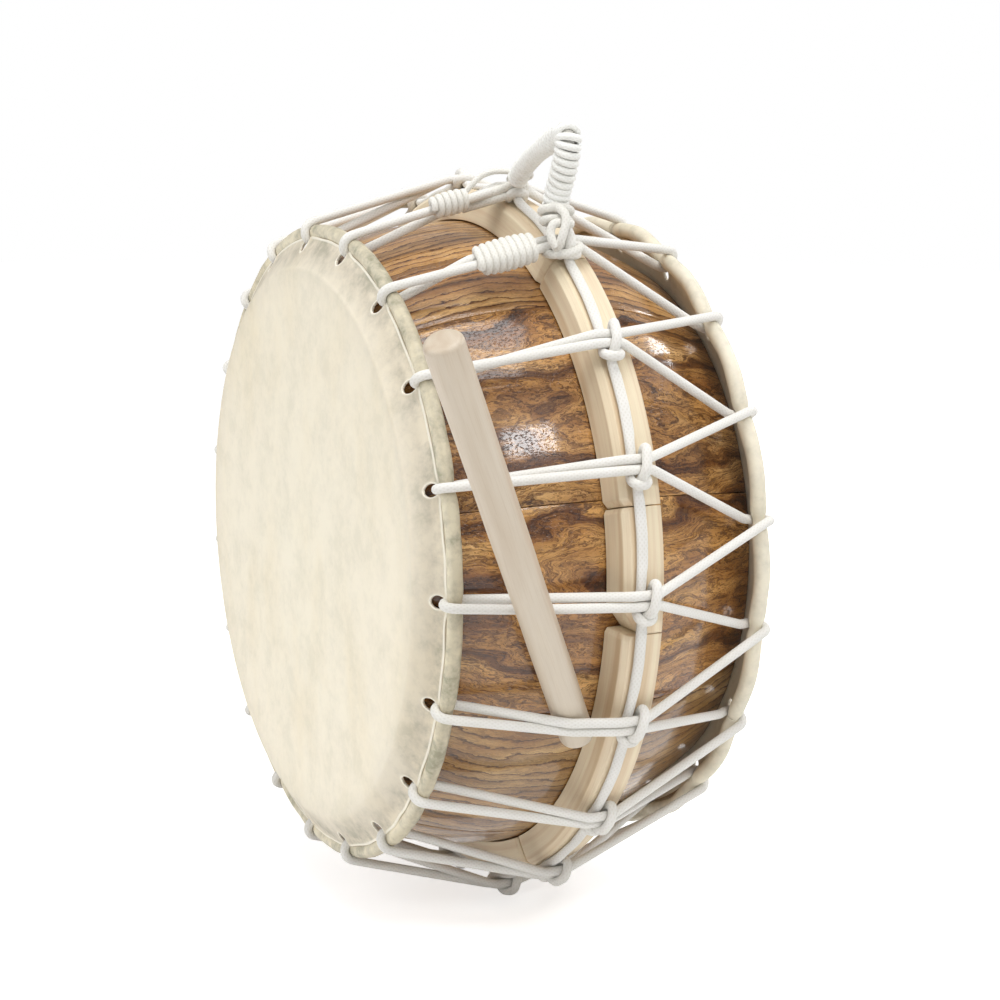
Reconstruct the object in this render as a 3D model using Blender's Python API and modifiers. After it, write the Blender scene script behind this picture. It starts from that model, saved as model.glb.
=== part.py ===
# Korean folk drum (buk): a barrel shell of glued staves, two hide heads rolled round hoops,
# one long lacing rope, a girth cord hitched over each pair of strands, wooden wedges that
# tighten the lacing, a wound rope handle and a stick tucked under the lacing.
# Metres. The drum's axis runs along X, the front head looks towards -X, and angles round
# the axis are measured from the top (+Z) towards -Y.

import math
from collections import namedtuple

import bmesh
import bpy
from mathutils import Matrix, Vector

# Shell and heads
HALF_WIDTH = 0.1147
BELLY_RADIUS = 0.2065
SHELL_END_RADIUS = 0.1773
SHELL_HALF_LENGTH = 0.1127
SHELL_THICKNESS = 0.011
SHELL_CHAMFER = 0.003
STAVES = 10
STAVE_SEAM_ANGLE = math.radians(76.5)
HIDE_THICKNESS = 0.0015
BEND_RADIUS = 0.006
BEND_CENTRE_RADIUS = 0.1747
GAP = 0.0003

# Rims: past a lip the hide lies flatter and rolls back round a hoop
Rim = namedtuple("Rim", "hoop_x ring_radius wire_radius hem_radius lip_x lip_radius")
FRONT_RIM = Rim(0.0983, 0.2010, 0.0026, 0.0046, 0.1040, 0.1926)
REAR_RIM = Rim(0.1042, 0.2009, 0.0030, 0.0050, 0.1074, 0.1956)
HEM_END_ANGLE = math.radians(245)

# Rope work
ROPE_RADIUS = 0.0033
PAIRS = 19
PAIR_PITCH = 2 * math.pi / PAIRS
FIRST_PAIR_ANGLE = math.radians(15.5)
ROPE_SLACK = 0.0005
ROPE_LEAD = 0.006
STRAND_OFFSET = 0.0035
HOLE_WIDTH = 0.0094
HOLE_LENGTH = 0.0100
HOLE_DISTANCE = 0.0055
KNOT_X = 0.0045
CORD_HEIGHT = 0.0039
PAIR_HEIGHT = 0.0109
OVER_HEIGHT = 0.0179

# Wedges: where each block starts, in pairs counted from the first pair
WEDGE_TOP_RADIUS = 0.2246
WEDGE_FRONT_X = -0.0040
WEDGE_FOOT_X = -0.0055
WEDGE_REAR_X = 0.0206
WEDGE_STARTS = (1.05, 3.3, 4.3, 7.3, 9.6, 12.5, 14.8, 17.1)
WEDGE_CHAMFER = 0.003
LONG_CHAMFER = 0.010

# Handle: its middle is between the first two pairs
HANDLE_ANGLE = FIRST_PAIR_ANGLE + PAIR_PITCH / 2
HANDLE_X = 0.0010
HANDLE_BASE_RADIUS = 0.2400
HANDLE_CORE_RADIUS = 0.0018
HANDLE_WRAP_RADIUS = 0.0026
HANDLE_WRAP_PITCH = 0.0060
TURN_POINTS = 10
# along the rim towards the second pair, and out from the base radius
HANDLE_ARCH = (
    (-0.0385, 0.0075), (-0.0300, 0.0145), (-0.0200, 0.0225), (-0.0100, 0.0310),
    (0.0000, 0.0400), (0.0095, 0.0475), (0.0195, 0.0505), (0.0285, 0.0465),
    (0.0325, 0.0375), (0.0325, 0.0275), (0.0325, 0.0175), (0.0385, 0.0075),
)
WHIPPING_RADIUS = 0.0029
NEAR_WHIPPING = (-0.0510, -0.0100)
NEAR_WHIPPING_TURNS = 6.5
THIN_WHIPPING_RADIUS = 0.0024
FAR_WHIPPING = (-0.0490, -0.0270)
FAR_WHIPPING_TURNS = 4.0

# Stick, its two end points measured from the drum's centre
STICK_LOWER_END = Vector((-0.0199, -0.1963, -0.0942))
STICK_UPPER_END = Vector((-0.1470, -0.3015, 0.1525))
STICK_LOWER_RADIUS = 0.0104
STICK_UPPER_RADIUS = 0.0108
STICK_END_ROUND = 0.0030
STICK_PAIR = 5

RIM_STEPS = 2 * PAIRS


def new_collection(name):
    collection = bpy.data.collections.new(name)
    bpy.context.scene.collection.children.link(collection)
    return collection


def new_material(name, colour, roughness):
    material = bpy.data.materials.new(name)
    material.use_nodes = True
    shader = material.node_tree.nodes["Principled BSDF"]
    shader.inputs["Base Color"].default_value = (*colour, 1)
    shader.inputs["Roughness"].default_value = roughness
    return material


def add_part(name, data, material, parent):
    part = bpy.data.objects.new(name, data)
    drum_parts.objects.link(part)
    data.materials.append(material)
    part.parent = parent
    return part


def drum_point(x, radius, angle):
    return Vector((x, -radius * math.sin(angle), radius * math.cos(angle)))


def pair_angle(index):
    return FIRST_PAIR_ANGLE + index * PAIR_PITCH


def shell_radius(x):
    return BELLY_RADIUS - (BELLY_RADIUS - SHELL_END_RADIUS) * (x / SHELL_HALF_LENGTH) ** 2


def profile_mesh(name, points, angle, closed=False):
    """An outline in the plane through the drum's axis at this angle."""
    mesh = bpy.data.meshes.new(name)
    corners = [drum_point(x, radius, angle) for x, radius in points]
    edges = [(i, i + 1) for i in range(len(points) - 1)]
    if closed:
        edges.append((len(points) - 1, 0))
    mesh.from_pydata(corners, edges, [])
    return mesh


def turn(part, steps, angle=2 * math.pi, axis="X", flip=False):
    screw = part.modifiers.new("turn", "SCREW")
    screw.axis = axis
    screw.angle = angle
    screw.steps = steps
    screw.render_steps = steps
    screw.use_merge_vertices = True
    screw.merge_threshold = 0.00001
    screw.use_normal_flip = flip


def thicken(part, thickness):
    solidify = part.modifiers.new("thickness", "SOLIDIFY")
    solidify.thickness = thickness
    solidify.offset = -1
    solidify.use_even_offset = True


def tube(name, points, radius, material, parent, closed=False, scales=None):
    curve = bpy.data.curves.new(name, "CURVE")
    curve.dimensions = "3D"
    curve.bevel_depth = radius
    curve.bevel_resolution = 1
    curve.use_fill_caps = not closed
    spline = curve.splines.new("POLY")
    spline.points.add(len(points) - 1)
    spline.use_cyclic_u = closed
    for i, point in enumerate(points):
        spline.points[i].co = (*point, 1)
        if scales:
            spline.points[i].radius = scales[i]
    return add_part(name, curve, material, parent)


def make_shell():
    """Ten barrel staves, glued edge to edge."""
    chamfer_x = SHELL_HALF_LENGTH - SHELL_CHAMFER
    end_radius = shell_radius(chamfer_x) - SHELL_CHAMFER
    runs = 8
    outline = [(-SHELL_HALF_LENGTH, end_radius)]
    for i in range(runs + 1):
        x = chamfer_x * (2 * i / runs - 1)
        outline.append((x, shell_radius(x)))
    outline.append((SHELL_HALF_LENGTH, end_radius))
    for i in range(runs + 1):
        x = SHELL_HALF_LENGTH * (1 - 2 * i / runs)
        outline.append((x, shell_radius(x) - SHELL_THICKNESS))
    stave_angle = 2 * math.pi / STAVES
    gap_angle = GAP / SHELL_END_RADIUS
    for i in range(STAVES):
        name = f"shell_stave_{i + 1:02d}"
        start = STAVE_SEAM_ANGLE + i * stave_angle + gap_angle / 2
        shape = bmesh.new()
        end_face = shape.faces.new([shape.verts.new(drum_point(x, radius, start))
                                    for x, radius in outline])
        bmesh.ops.spin(shape, geom=[end_face], cent=(0, 0, 0), axis=(1, 0, 0), steps=4,
                       angle=stave_angle - gap_angle, use_duplicate=False)
        bmesh.ops.recalc_face_normals(shape, faces=shape.faces)
        mesh = bpy.data.meshes.new(name)
        shape.to_mesh(mesh)
        shape.free()
        add_part(name, mesh, lacquered_wood, drum)


def on_circle(centre, radius, angle):
    return (centre[0] + radius * math.cos(angle), centre[1] + radius * math.sin(angle))


def hide_slope(rim):
    """Angle of the hide's outward normal between the bearing edge and the lip."""
    along = Vector((rim.lip_x - (HALF_WIDTH - BEND_RADIUS), rim.lip_radius - BEND_CENTRE_RADIUS))
    return math.atan2(along.y, along.x) - math.acos(BEND_RADIUS / along.length)


def flap_slope(rim):
    """Angle of the hide's outward normal between the lip and the roll."""
    along = Vector((rim.hoop_x - rim.lip_x, rim.ring_radius - rim.lip_radius))
    return math.atan2(along.y, along.x) - math.pi + math.acos(rim.hem_radius / along.length)


def hole_point(rim, distance, depth=0.0):
    """A point at this distance from the lip towards the shell, and this deep in the hide."""
    slope = hide_slope(rim)
    return (rim.lip_x + distance * math.sin(slope) - depth * math.cos(slope),
            rim.lip_radius - distance * math.cos(slope) - depth * math.sin(slope))


def head_profile(rim):
    """The hide's outside: the middle, the bearing edge, the lip, and round the hoop."""
    slope = hide_slope(rim)
    bend_centre = (HALF_WIDTH - BEND_RADIUS, BEND_CENTRE_RADIUS)
    hem_steps = 7
    profile = [(HALF_WIDTH, 0.0)]
    for i in range(3):
        profile.append(on_circle(bend_centre, BEND_RADIUS, slope * i / 2))
    profile.append((rim.lip_x, rim.lip_radius))
    first_angle = flap_slope(rim)
    for i in range(hem_steps + 1):
        angle = first_angle + (HEM_END_ANGLE - first_angle) * i / hem_steps
        profile.append(on_circle((rim.hoop_x, rim.ring_radius), rim.hem_radius, angle))
    return profile


def make_hole_cutters(name, side, rim, first_angle):
    """Oval punches through the hide, one for each place where the rope goes through."""
    slope = hide_slope(rim)
    x, radius = hole_point(rim, HOLE_DISTANCE)
    tilt = math.atan2(side * math.cos(slope), math.sin(slope))
    oval = Matrix.Diagonal((HOLE_LENGTH / HOLE_WIDTH, 1, 1, 1))
    mesh = bpy.data.meshes.new(name)
    shapes = bmesh.new()
    for i in range(PAIRS):
        place = Matrix.Rotation(first_angle + i * PAIR_PITCH, 4, "X")
        place = place @ Matrix.Translation((side * x, 0, radius))
        place = place @ Matrix.Rotation(tilt, 4, "Y") @ oval
        bmesh.ops.create_cone(
            shapes, cap_ends=True, segments=10, radius1=HOLE_WIDTH / 2, radius2=HOLE_WIDTH / 2,
            depth=3 * HIDE_THICKNESS, matrix=place)
    shapes.to_mesh(mesh)
    shapes.free()
    punch = bpy.data.objects.new(name, mesh)
    cutters.objects.link(punch)
    punch.parent = drum
    punch.hide_render = True
    punch.display_type = "WIRE"
    return punch


def make_head(name, side, rim, first_hole_angle):
    profile = [(side * x, radius) for x, radius in head_profile(rim)]
    head = add_part(name, profile_mesh(name, profile, FIRST_PAIR_ANGLE), hide, drum)
    turn(head, RIM_STEPS, flip=side < 0)
    thicken(head, HIDE_THICKNESS)
    cut = head.modifiers.new("lacing holes", "BOOLEAN")
    cut.operation = "DIFFERENCE"
    cut.object = make_hole_cutters(name + "_holes", side, rim, first_hole_angle)


def make_hoop(name, side, rim):
    sides = 8
    centre = (side * rim.hoop_x, rim.ring_radius)
    profile = [on_circle(centre, rim.wire_radius, 2 * math.pi * i / sides) for i in range(sides)]
    hoop = add_part(name, profile_mesh(name, profile, FIRST_PAIR_ANGLE, closed=True), iron, drum)
    turn(hoop, RIM_STEPS)


def tangent_angle(centre, radius, point, turn_side):
    """Angle on a circle where a straight rope from the point touches it."""
    away = Vector((point[0] - centre[0], point[1] - centre[1]))
    return math.atan2(away.y, away.x) + turn_side * math.acos(radius / away.length)


def arc(centre, radius, start, end, steps):
    return [on_circle(centre, radius, start + (end - start) * i / steps) for i in range(steps + 1)]


def rope_section(rim, under_from, over_to):
    """The rope's way in the section, from under the rim, round the hole's edge and the roll."""
    roll = (rim.hoop_x, rim.ring_radius)
    roll_reach = rim.hem_radius + ROPE_RADIUS + ROPE_SLACK
    edge = hole_point(rim, HOLE_DISTANCE - HOLE_LENGTH / 2, HIDE_THICKNESS / 2)
    edge_reach = HIDE_THICKNESS / 2 + ROPE_RADIUS + ROPE_SLACK
    away = Vector((edge[0] - roll[0], edge[1] - roll[1]))
    facing = math.atan2(away.y, away.x)
    opening = math.acos((roll_reach - edge_reach) / away.length)
    roll_start = tangent_angle(roll, roll_reach, under_from, 1) - 2 * math.pi
    edge_start = facing - opening
    points = []
    if roll_start < edge_start:
        points += arc(roll, roll_reach, roll_start, edge_start, 2)
    else:
        edge_start = tangent_angle(edge, edge_reach, under_from, 1) - 2 * math.pi
    points += arc(edge, edge_reach, edge_start, facing + opening, 5)
    end = tangent_angle(roll, roll_reach, over_to, -1)
    points += arc(roll, roll_reach, facing + opening, end, 3)
    lead_in = Vector(under_from) - Vector(points[0])
    return [tuple(Vector(points[0]) + lead_in.normalized() * ROPE_LEAD)] + points


def round_rim(side, rim, angle, under_from, over_to):
    """Rope points from under a rim, out through the hide and back over the roll.

    under_from and over_to are (distance from the middle, radius) of the strands' last points.
    """
    section = rope_section(rim, under_from, over_to)
    shift = STRAND_OFFSET / rim.ring_radius
    crossing = hole_point(rim, HOLE_DISTANCE)[1]
    lowest = min(range(len(section)), key=lambda i: abs(section[i][1] - crossing))
    points = []
    for i, (x, radius) in enumerate(section):
        span = lowest if i < lowest else len(section) - 1 - lowest
        sideways = ((i - lowest) / span) ** 2
        if i < lowest:
            sideways = -sideways
        points.append(drum_point(side * x, radius, angle + shift * sideways))
    return points


def strand_point(pair, strand, x, radius, offset=STRAND_OFFSET):
    """A point of a strand; strand is -1 for a pair's upper strand and 1 for its lower one."""
    return drum_point(x, radius, pair_angle(pair) + strand * offset / radius)


def stick_crossing(angle):
    """Where the stick's axis passes this angle, as (x, radius)."""
    along = STICK_UPPER_END - STICK_LOWER_END
    across = Vector((0, -math.cos(angle), -math.sin(angle)))
    point = STICK_LOWER_END - along * (STICK_LOWER_END.dot(across) / along.dot(across))
    return point.x, math.hypot(point.y, point.z)


def over_stick(strand):
    """Points that lift a strand of the sixth pair over the stick tucked under it."""
    angle = pair_angle(STICK_PAIR) + strand * STRAND_OFFSET / WEDGE_TOP_RADIUS
    x, radius = stick_crossing(angle)
    clear = STICK_UPPER_RADIUS + ROPE_RADIUS + 0.0010
    lifts = (math.radians(112), math.radians(92))
    return [
        drum_point(x + clear * math.cos(lift), radius + clear * math.sin(lift), angle)
        for lift in lifts
    ]


def knot_strand(pair, strand):
    """The stretch of a strand over the wedges, under the girth cord's knot, front to rear."""
    radius = WEDGE_TOP_RADIUS + PAIR_HEIGHT
    return [strand_point(pair, strand, x, radius) for x in (-0.0030, 0.0135)]


def front_detour(pair, strand):
    """Points between the front hoop and the knot where a strand isn't straight, front first."""
    if pair == STICK_PAIR:
        return over_stick(strand)
    if pair == STICK_PAIR - 1 and strand == 1:
        return [strand_point(pair, strand, -0.0590, 0.2176)]
    if pair == 1:
        front, rear = NEAR_WHIPPING
        return [
            strand_point(pair, strand, front - 0.004, 0.2220),
            strand_point(pair, strand, rear, 0.2332),
        ]
    if pair == 0 and strand == -1:
        return [strand_point(pair, strand, -0.0290, 0.2222, 0.0080)]
    return []


def in_section(point):
    """Distance from the drum's middle along the axis, and radius."""
    return abs(point.x), math.hypot(point.y, point.z)


def lacing_points():
    points = []
    rear_shift = PAIR_PITCH / 2
    rear_corner = (WEDGE_REAR_X + 0.0010, WEDGE_TOP_RADIUS + 0.0042)
    for pair in range(PAIRS):
        upper = front_detour(pair, -1) + knot_strand(pair, -1)
        lower = front_detour(pair, 1) + knot_strand(pair, 1)
        next_upper = knot_strand(pair + 1, -1)
        points += reversed(upper)
        points += round_rim(
            -1, FRONT_RIM, pair_angle(pair), in_section(upper[0]), in_section(lower[0]))
        points += lower
        points.append(strand_point(pair, 1, *rear_corner, 0.0073))
        rear_angle = pair_angle(pair) + rear_shift
        points += round_rim(1, REAR_RIM, rear_angle, rear_corner, in_section(next_upper[-1]))
    return points


# The girth cord's hitch at a pair: (along the axis, down the rim, out from the wedges)
HITCH = (
    (0.0000, -0.0120, CORD_HEIGHT),
    (-0.0026, -0.0020, CORD_HEIGHT),
    (-0.0056, 0.0065, 0.0043),
    (-0.0078, 0.0112, 0.0072),
    (-0.0064, 0.0170, 0.0112),
    (0.0000, 0.0194, 0.0130),
    (0.0056, 0.0164, 0.0106),
    (0.0076, 0.0112, 0.0058),
    (0.0062, 0.0040, CORD_HEIGHT),
    (0.0070, -0.0060, 0.0042),
    (0.0068, -0.0104, 0.0075),
    (0.0046, -0.0108, 0.0116),
    (0.0024, -0.0093, 0.0163),
    (0.0010, -0.0045, OVER_HEIGHT + 0.0002),
    (0.0004, 0.0045, OVER_HEIGHT + 0.0002),
    (0.0000, 0.0093, 0.0163),
    (0.0000, 0.0107, 0.0110),
    (0.0000, 0.0132, 0.0050),
    (0.0000, 0.0180, CORD_HEIGHT),
)


def girth_points():
    points = []
    for pair in range(PAIRS):
        for along, down, out in HITCH:
            radius = WEDGE_TOP_RADIUS + out
            points.append(drum_point(KNOT_X + along, radius, pair_angle(pair) + down / radius))
        middle = pair_angle(pair) + PAIR_PITCH / 2 + 0.0030 / WEDGE_TOP_RADIUS
        points.append(drum_point(KNOT_X, WEDGE_TOP_RADIUS + CORD_HEIGHT, middle))
    return points


def wedge_section(angle, front_shift):
    """Corners of a wedge block's cross-section, the front pair moved back at a chamfer."""
    foot_gap = 0.0008
    foot_x = WEDGE_FOOT_X + front_shift
    front_x = WEDGE_FRONT_X + front_shift
    return [
        drum_point(foot_x, shell_radius(0) + foot_gap, angle),
        drum_point(front_x, WEDGE_TOP_RADIUS, angle),
        drum_point(WEDGE_REAR_X, WEDGE_TOP_RADIUS, angle),
        drum_point(WEDGE_REAR_X, shell_radius(WEDGE_REAR_X) + foot_gap, angle),
    ]


def loft(name, sections):
    """A solid through outlines with the same number of corners, closed at both ends."""
    shape = bmesh.new()
    rings = [[shape.verts.new(corner) for corner in section] for section in sections]
    for ring, following in zip(rings, rings[1:]):
        for i in range(len(ring)):
            j = (i + 1) % len(ring)
            shape.faces.new((ring[i], ring[j], following[j], following[i]))
    shape.faces.new(rings[0])
    shape.faces.new(reversed(rings[-1]))
    bmesh.ops.recalc_face_normals(shape, faces=shape.faces)
    mesh = bpy.data.meshes.new(name)
    shape.to_mesh(mesh)
    shape.free()
    return mesh


def make_wedge(name, start, end, last_chamfer):
    """A bent block between two angles, its front corners cut off at both ends."""
    first_length = WEDGE_CHAMFER / WEDGE_TOP_RADIUS
    last_length = 1.5 * last_chamfer / WEDGE_TOP_RADIUS
    steps = max(2, round((end - start) / math.radians(6)))
    angles = [start + first_length + (end - last_length - start - first_length) * i / steps
              for i in range(steps + 1)]
    sections = [wedge_section(start, WEDGE_CHAMFER / 2)]
    sections += [wedge_section(angle, 0) for angle in angles]
    sections.append(wedge_section(end, last_chamfer))
    add_part(name, loft(name, sections), pale_wood, drum)


def make_wedges():
    half_gap = GAP / WEDGE_TOP_RADIUS
    ends = WEDGE_STARTS[1:] + (WEDGE_STARTS[0] + PAIRS,)
    for i, (start, end) in enumerate(zip(WEDGE_STARTS, ends)):
        last_chamfer = LONG_CHAMFER if i == 1 else WEDGE_CHAMFER
        make_wedge(f"wedge_block_{i + 1}", pair_angle(start) + half_gap,
                   pair_angle(end) - half_gap, last_chamfer)


def handle_frame():
    """The handle's own directions: along the rim, and straight out."""
    along = Vector((0, -math.cos(HANDLE_ANGLE), -math.sin(HANDLE_ANGLE)))
    out = drum_point(0, 1, HANDLE_ANGLE)
    return along, out


def spaced(points, spacing):
    """Points at even spacing on the straight runs through these points."""
    lengths = [0.0]
    for a, b in zip(points, points[1:]):
        lengths.append(lengths[-1] + (b - a).length)
    count = round(lengths[-1] / spacing)
    result = []
    run = 0
    for i in range(count + 1):
        distance = lengths[-1] * i / count
        while run < len(points) - 2 and distance > lengths[run + 1]:
            run += 1
        share = (distance - lengths[run]) / (lengths[run + 1] - lengths[run])
        result.append(points[run].lerp(points[run + 1], share))
    return result


def smoothed(points, rounds):
    for _ in range(rounds):
        middle = [(a + 2 * b + c) / 4 for a, b, c in zip(points, points[1:], points[2:])]
        points = [points[0]] + middle + [points[-1]]
    return points


def handle_centres():
    """Middle line of the arch, ten points to a turn of the wrapping."""
    along, out = handle_frame()
    base = Vector((HANDLE_X, 0, 0))
    corners = [base + along * u + out * (HANDLE_BASE_RADIUS + v) for u, v in HANDLE_ARCH]
    return smoothed(spaced(corners, HANDLE_WRAP_PITCH / TURN_POINTS), 90)


def handle_wrap(centres):
    """One cord wound round the handle's core."""
    axis = Vector((1, 0, 0))
    wind_radius = HANDLE_CORE_RADIUS + 2 * GAP + HANDLE_WRAP_RADIUS
    points = []
    for i, (before, centre, after) in enumerate(zip(centres, centres[1:], centres[2:])):
        side = (after - before).normalized().cross(axis)
        angle = 2 * math.pi * i / TURN_POINTS
        points.append(centre + wind_radius * (side * math.cos(angle) + axis * math.sin(angle)))
    return points


def wrap_scales(points):
    """Thinner where neighbouring turns crowd, so that they keep clear of each other."""
    clear = 0.0005
    scales = []
    for i, point in enumerate(points):
        gap = min((point - other).length
                  for j, other in enumerate(points) if TURN_POINTS * 0.7 < abs(i - j) < 2 * TURN_POINTS)
        scales.append(min(1.0, (gap - clear) / (2 * HANDLE_WRAP_RADIUS)))
    return scales


def whipping_points(path, width, wind_radius, turns):
    """A cord wound round one strand, or round two side by side a width apart."""
    start, end = path
    forward = (end - start).normalized()
    out = Vector((0, start.y, start.z)).normalized()
    across = forward.cross(out).normalized()
    out = across.cross(forward)
    points = []
    count = round(turns * TURN_POINTS)
    for i in range(count + 1):
        angle = 2 * math.pi * i / TURN_POINTS
        shift = width / 2 * max(-1, min(1, 1.6 * math.cos(angle)))
        point = start.lerp(end, i / count)
        point = point + across * (shift + wind_radius * math.cos(angle))
        points.append(point + out * wind_radius * math.sin(angle))
    return points


def least_gap(points, radius, neighbours):
    """Smallest distance between the tube's own stretches that aren't next to each other."""
    least = 1.0
    for i, point in enumerate(points):
        for other in points[i + neighbours:]:
            least = min(least, (point - other).length)
    return least - 2 * radius


def make_handle():
    out = handle_frame()[1]
    pivot = Vector((HANDLE_X, 0, 0)) + out * (HANDLE_BASE_RADIUS + HANDLE_ARCH[0][1])
    handle = bpy.data.objects.new("handle_pivot", None)
    drum_parts.objects.link(handle)
    handle.location = pivot
    handle.parent = drum
    centres = [point - pivot for point in handle_centres()]
    core = centres[::TURN_POINTS // 2] + centres[-1:]
    tube("handle_core", core, HANDLE_CORE_RADIUS, rope, handle)
    wrap = handle_wrap(centres[TURN_POINTS // 2:-TURN_POINTS // 2])
    scales = wrap_scales(wrap)
    tube("handle_wrap", wrap, HANDLE_WRAP_RADIUS, rope, handle, scales=scales)
    print("handle wrap thinnest", round(min(scales) * HANDLE_WRAP_RADIUS * 1000, 2), "mm,",
          "least gap", round(wrap_gap(wrap, scales) * 1000, 2), "mm")


def wrap_gap(points, scales):
    """Least distance between the surfaces of stretches half a turn or more apart."""
    least = 1.0
    for i, point in enumerate(points):
        for j in range(i + TURN_POINTS // 2, len(points)):
            reach = HANDLE_WRAP_RADIUS * (scales[i] + scales[j])
            least = min(least, (point - points[j]).length - reach)
    return least


def make_whippings():
    front, rear = NEAR_WHIPPING
    pair_line = [
        drum_point(x, radius, pair_angle(1)) for x, radius in ((front, 0.2229), (rear, 0.2332))]
    near = whipping_points(pair_line, 2 * STRAND_OFFSET, ROPE_RADIUS + 2 * GAP + WHIPPING_RADIUS,
                           NEAR_WHIPPING_TURNS)
    tube("near_whipping", near, WHIPPING_RADIUS, rope, drum)
    front, rear = FAR_WHIPPING
    hoop_end = (-0.1030, 0.2095)
    knot_end = (-0.0030, WEDGE_TOP_RADIUS + PAIR_HEIGHT)
    slope = (knot_end[1] - hoop_end[1]) / (knot_end[0] - hoop_end[0])
    strand_line = [strand_point(0, 1, x, hoop_end[1] + slope * (x - hoop_end[0]))
                   for x in (front, rear)]
    far = whipping_points(strand_line, 0, ROPE_RADIUS + 2 * GAP + THIN_WHIPPING_RADIUS,
                          FAR_WHIPPING_TURNS)
    tube("far_whipping", far, THIN_WHIPPING_RADIUS, rope, drum)
    print("near whipping least gap", round(least_gap(near, WHIPPING_RADIUS, 8) * 1000, 2), "mm")
    print("far whipping least gap", round(least_gap(far, THIN_WHIPPING_RADIUS, 7) * 1000, 2), "mm")


def make_stick():
    along = STICK_UPPER_END - STICK_LOWER_END
    length = along.length
    round_steps = 2
    profile = [(0.0, length)]
    for i in range(round_steps + 1):
        angle = math.pi / 2 * (1 - i / round_steps)
        profile.append((STICK_UPPER_RADIUS - STICK_END_ROUND * (1 - math.cos(angle)),
                        length - STICK_END_ROUND * (1 - math.sin(angle))))
    for i in range(round_steps + 1):
        angle = math.pi / 2 * i / round_steps
        profile.append((STICK_LOWER_RADIUS - STICK_END_ROUND * (1 - math.cos(angle)),
                        STICK_END_ROUND * (1 - math.sin(angle))))
    profile.append((0.0, 0.0))
    mesh = bpy.data.meshes.new("drum_stick")
    edges = [(i, i + 1) for i in range(len(profile) - 1)]
    mesh.from_pydata([(radius, 0, z) for radius, z in profile], edges, [])
    stick = add_part("drum_stick", mesh, pale_wood, drum)
    stick.location = STICK_LOWER_END
    stick.rotation_mode = "QUATERNION"
    stick.rotation_quaternion = along.to_track_quat("Z", "Y")
    turn(stick, 16, axis="Z")


for old in list(bpy.data.objects):
    bpy.data.objects.remove(old)

drum_parts = new_collection("korean folk drum")
cutters = new_collection("cutters")
lacquered_wood = new_material("lacquered stave wood", (0.42, 0.25, 0.12), 0.3)
pale_wood = new_material("pale bare wood", (0.80, 0.66, 0.46), 0.6)
hide = new_material("raw hide", (0.86, 0.80, 0.66), 0.6)
iron = new_material("hoop iron", (0.25, 0.24, 0.23), 0.6)
rope = new_material("white cotton rope", (0.87, 0.86, 0.82), 0.8)

drum = bpy.data.objects.new("drum_axis", None)
drum_parts.objects.link(drum)
drum.location = (-HALF_WIDTH, 0, 0)

make_shell()
make_head("front_head", -1, FRONT_RIM, FIRST_PAIR_ANGLE)
make_head("rear_head", 1, REAR_RIM, FIRST_PAIR_ANGLE + PAIR_PITCH / 2)
make_hoop("front_hoop", -1, FRONT_RIM)
make_hoop("rear_hoop", 1, REAR_RIM)
tube("lacing_rope", lacing_points(), ROPE_RADIUS, rope, drum, closed=True)
tube("girth_cord", girth_points(), ROPE_RADIUS, rope, drum, closed=True)
make_wedges()
make_handle()
make_whippings()
make_stick()
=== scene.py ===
import random
from math import acos, atan2, cos, degrees, exp, hypot, pi, radians, sin, sqrt

import bmesh
import bpy
import numpy as np
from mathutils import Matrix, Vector


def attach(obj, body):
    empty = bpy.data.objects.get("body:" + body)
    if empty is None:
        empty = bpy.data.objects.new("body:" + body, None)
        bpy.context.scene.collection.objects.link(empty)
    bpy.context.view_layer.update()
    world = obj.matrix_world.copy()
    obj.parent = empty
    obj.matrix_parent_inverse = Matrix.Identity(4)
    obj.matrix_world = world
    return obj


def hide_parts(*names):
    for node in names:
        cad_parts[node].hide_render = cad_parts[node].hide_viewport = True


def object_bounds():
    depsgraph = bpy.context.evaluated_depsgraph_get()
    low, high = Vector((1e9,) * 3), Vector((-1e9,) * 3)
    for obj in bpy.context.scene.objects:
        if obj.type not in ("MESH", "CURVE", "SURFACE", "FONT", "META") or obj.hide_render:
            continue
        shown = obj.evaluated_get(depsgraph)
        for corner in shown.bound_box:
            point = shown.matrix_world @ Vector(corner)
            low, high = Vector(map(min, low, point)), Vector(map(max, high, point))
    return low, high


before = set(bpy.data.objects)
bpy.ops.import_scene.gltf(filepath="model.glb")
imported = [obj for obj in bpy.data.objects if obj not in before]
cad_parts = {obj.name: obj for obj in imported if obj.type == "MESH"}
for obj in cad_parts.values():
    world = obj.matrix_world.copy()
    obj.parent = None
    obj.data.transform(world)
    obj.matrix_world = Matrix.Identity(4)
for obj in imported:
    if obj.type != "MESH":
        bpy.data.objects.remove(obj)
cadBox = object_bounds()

# Metres. The drum lies along X with its front head towards -X. Angles round it are measured
# from the top towards -Y, and x is counted from the drum's middle.
drumMiddle = -0.1147
scene = bpy.context.scene
scene.view_settings.view_transform = "Standard"


def drumPoint(x, radius, angle):
    return Vector((drumMiddle + x, -radius * sin(angle), radius * cos(angle)))


def onCircle(centre, radius, angle):
    return (centre[0] + radius * cos(angle), centre[1] + radius * sin(angle))


def plug(tree, socket, value):
    if isinstance(value, bpy.types.NodeSocket):
        tree.links.new(value, socket)
    else:
        socket.default_value = value


def add(tree, kind, inputs=None, **settings):
    made = tree.nodes.new(kind)
    for key, value in settings.items():
        setattr(made, key, value)
    for key, value in (inputs or {}).items():
        plug(tree, made.inputs[key], value)
    return made


def calc(tree, operation, *values):
    made = add(tree, "ShaderNodeMath", operation=operation)
    for socket, value in zip(made.inputs, values):
        plug(tree, socket, value)
    return made.outputs[0]


def plus(tree, first, second):
    return calc(tree, "ADD", first, second)


def times(tree, first, second):
    return calc(tree, "MULTIPLY", first, second)


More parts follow.
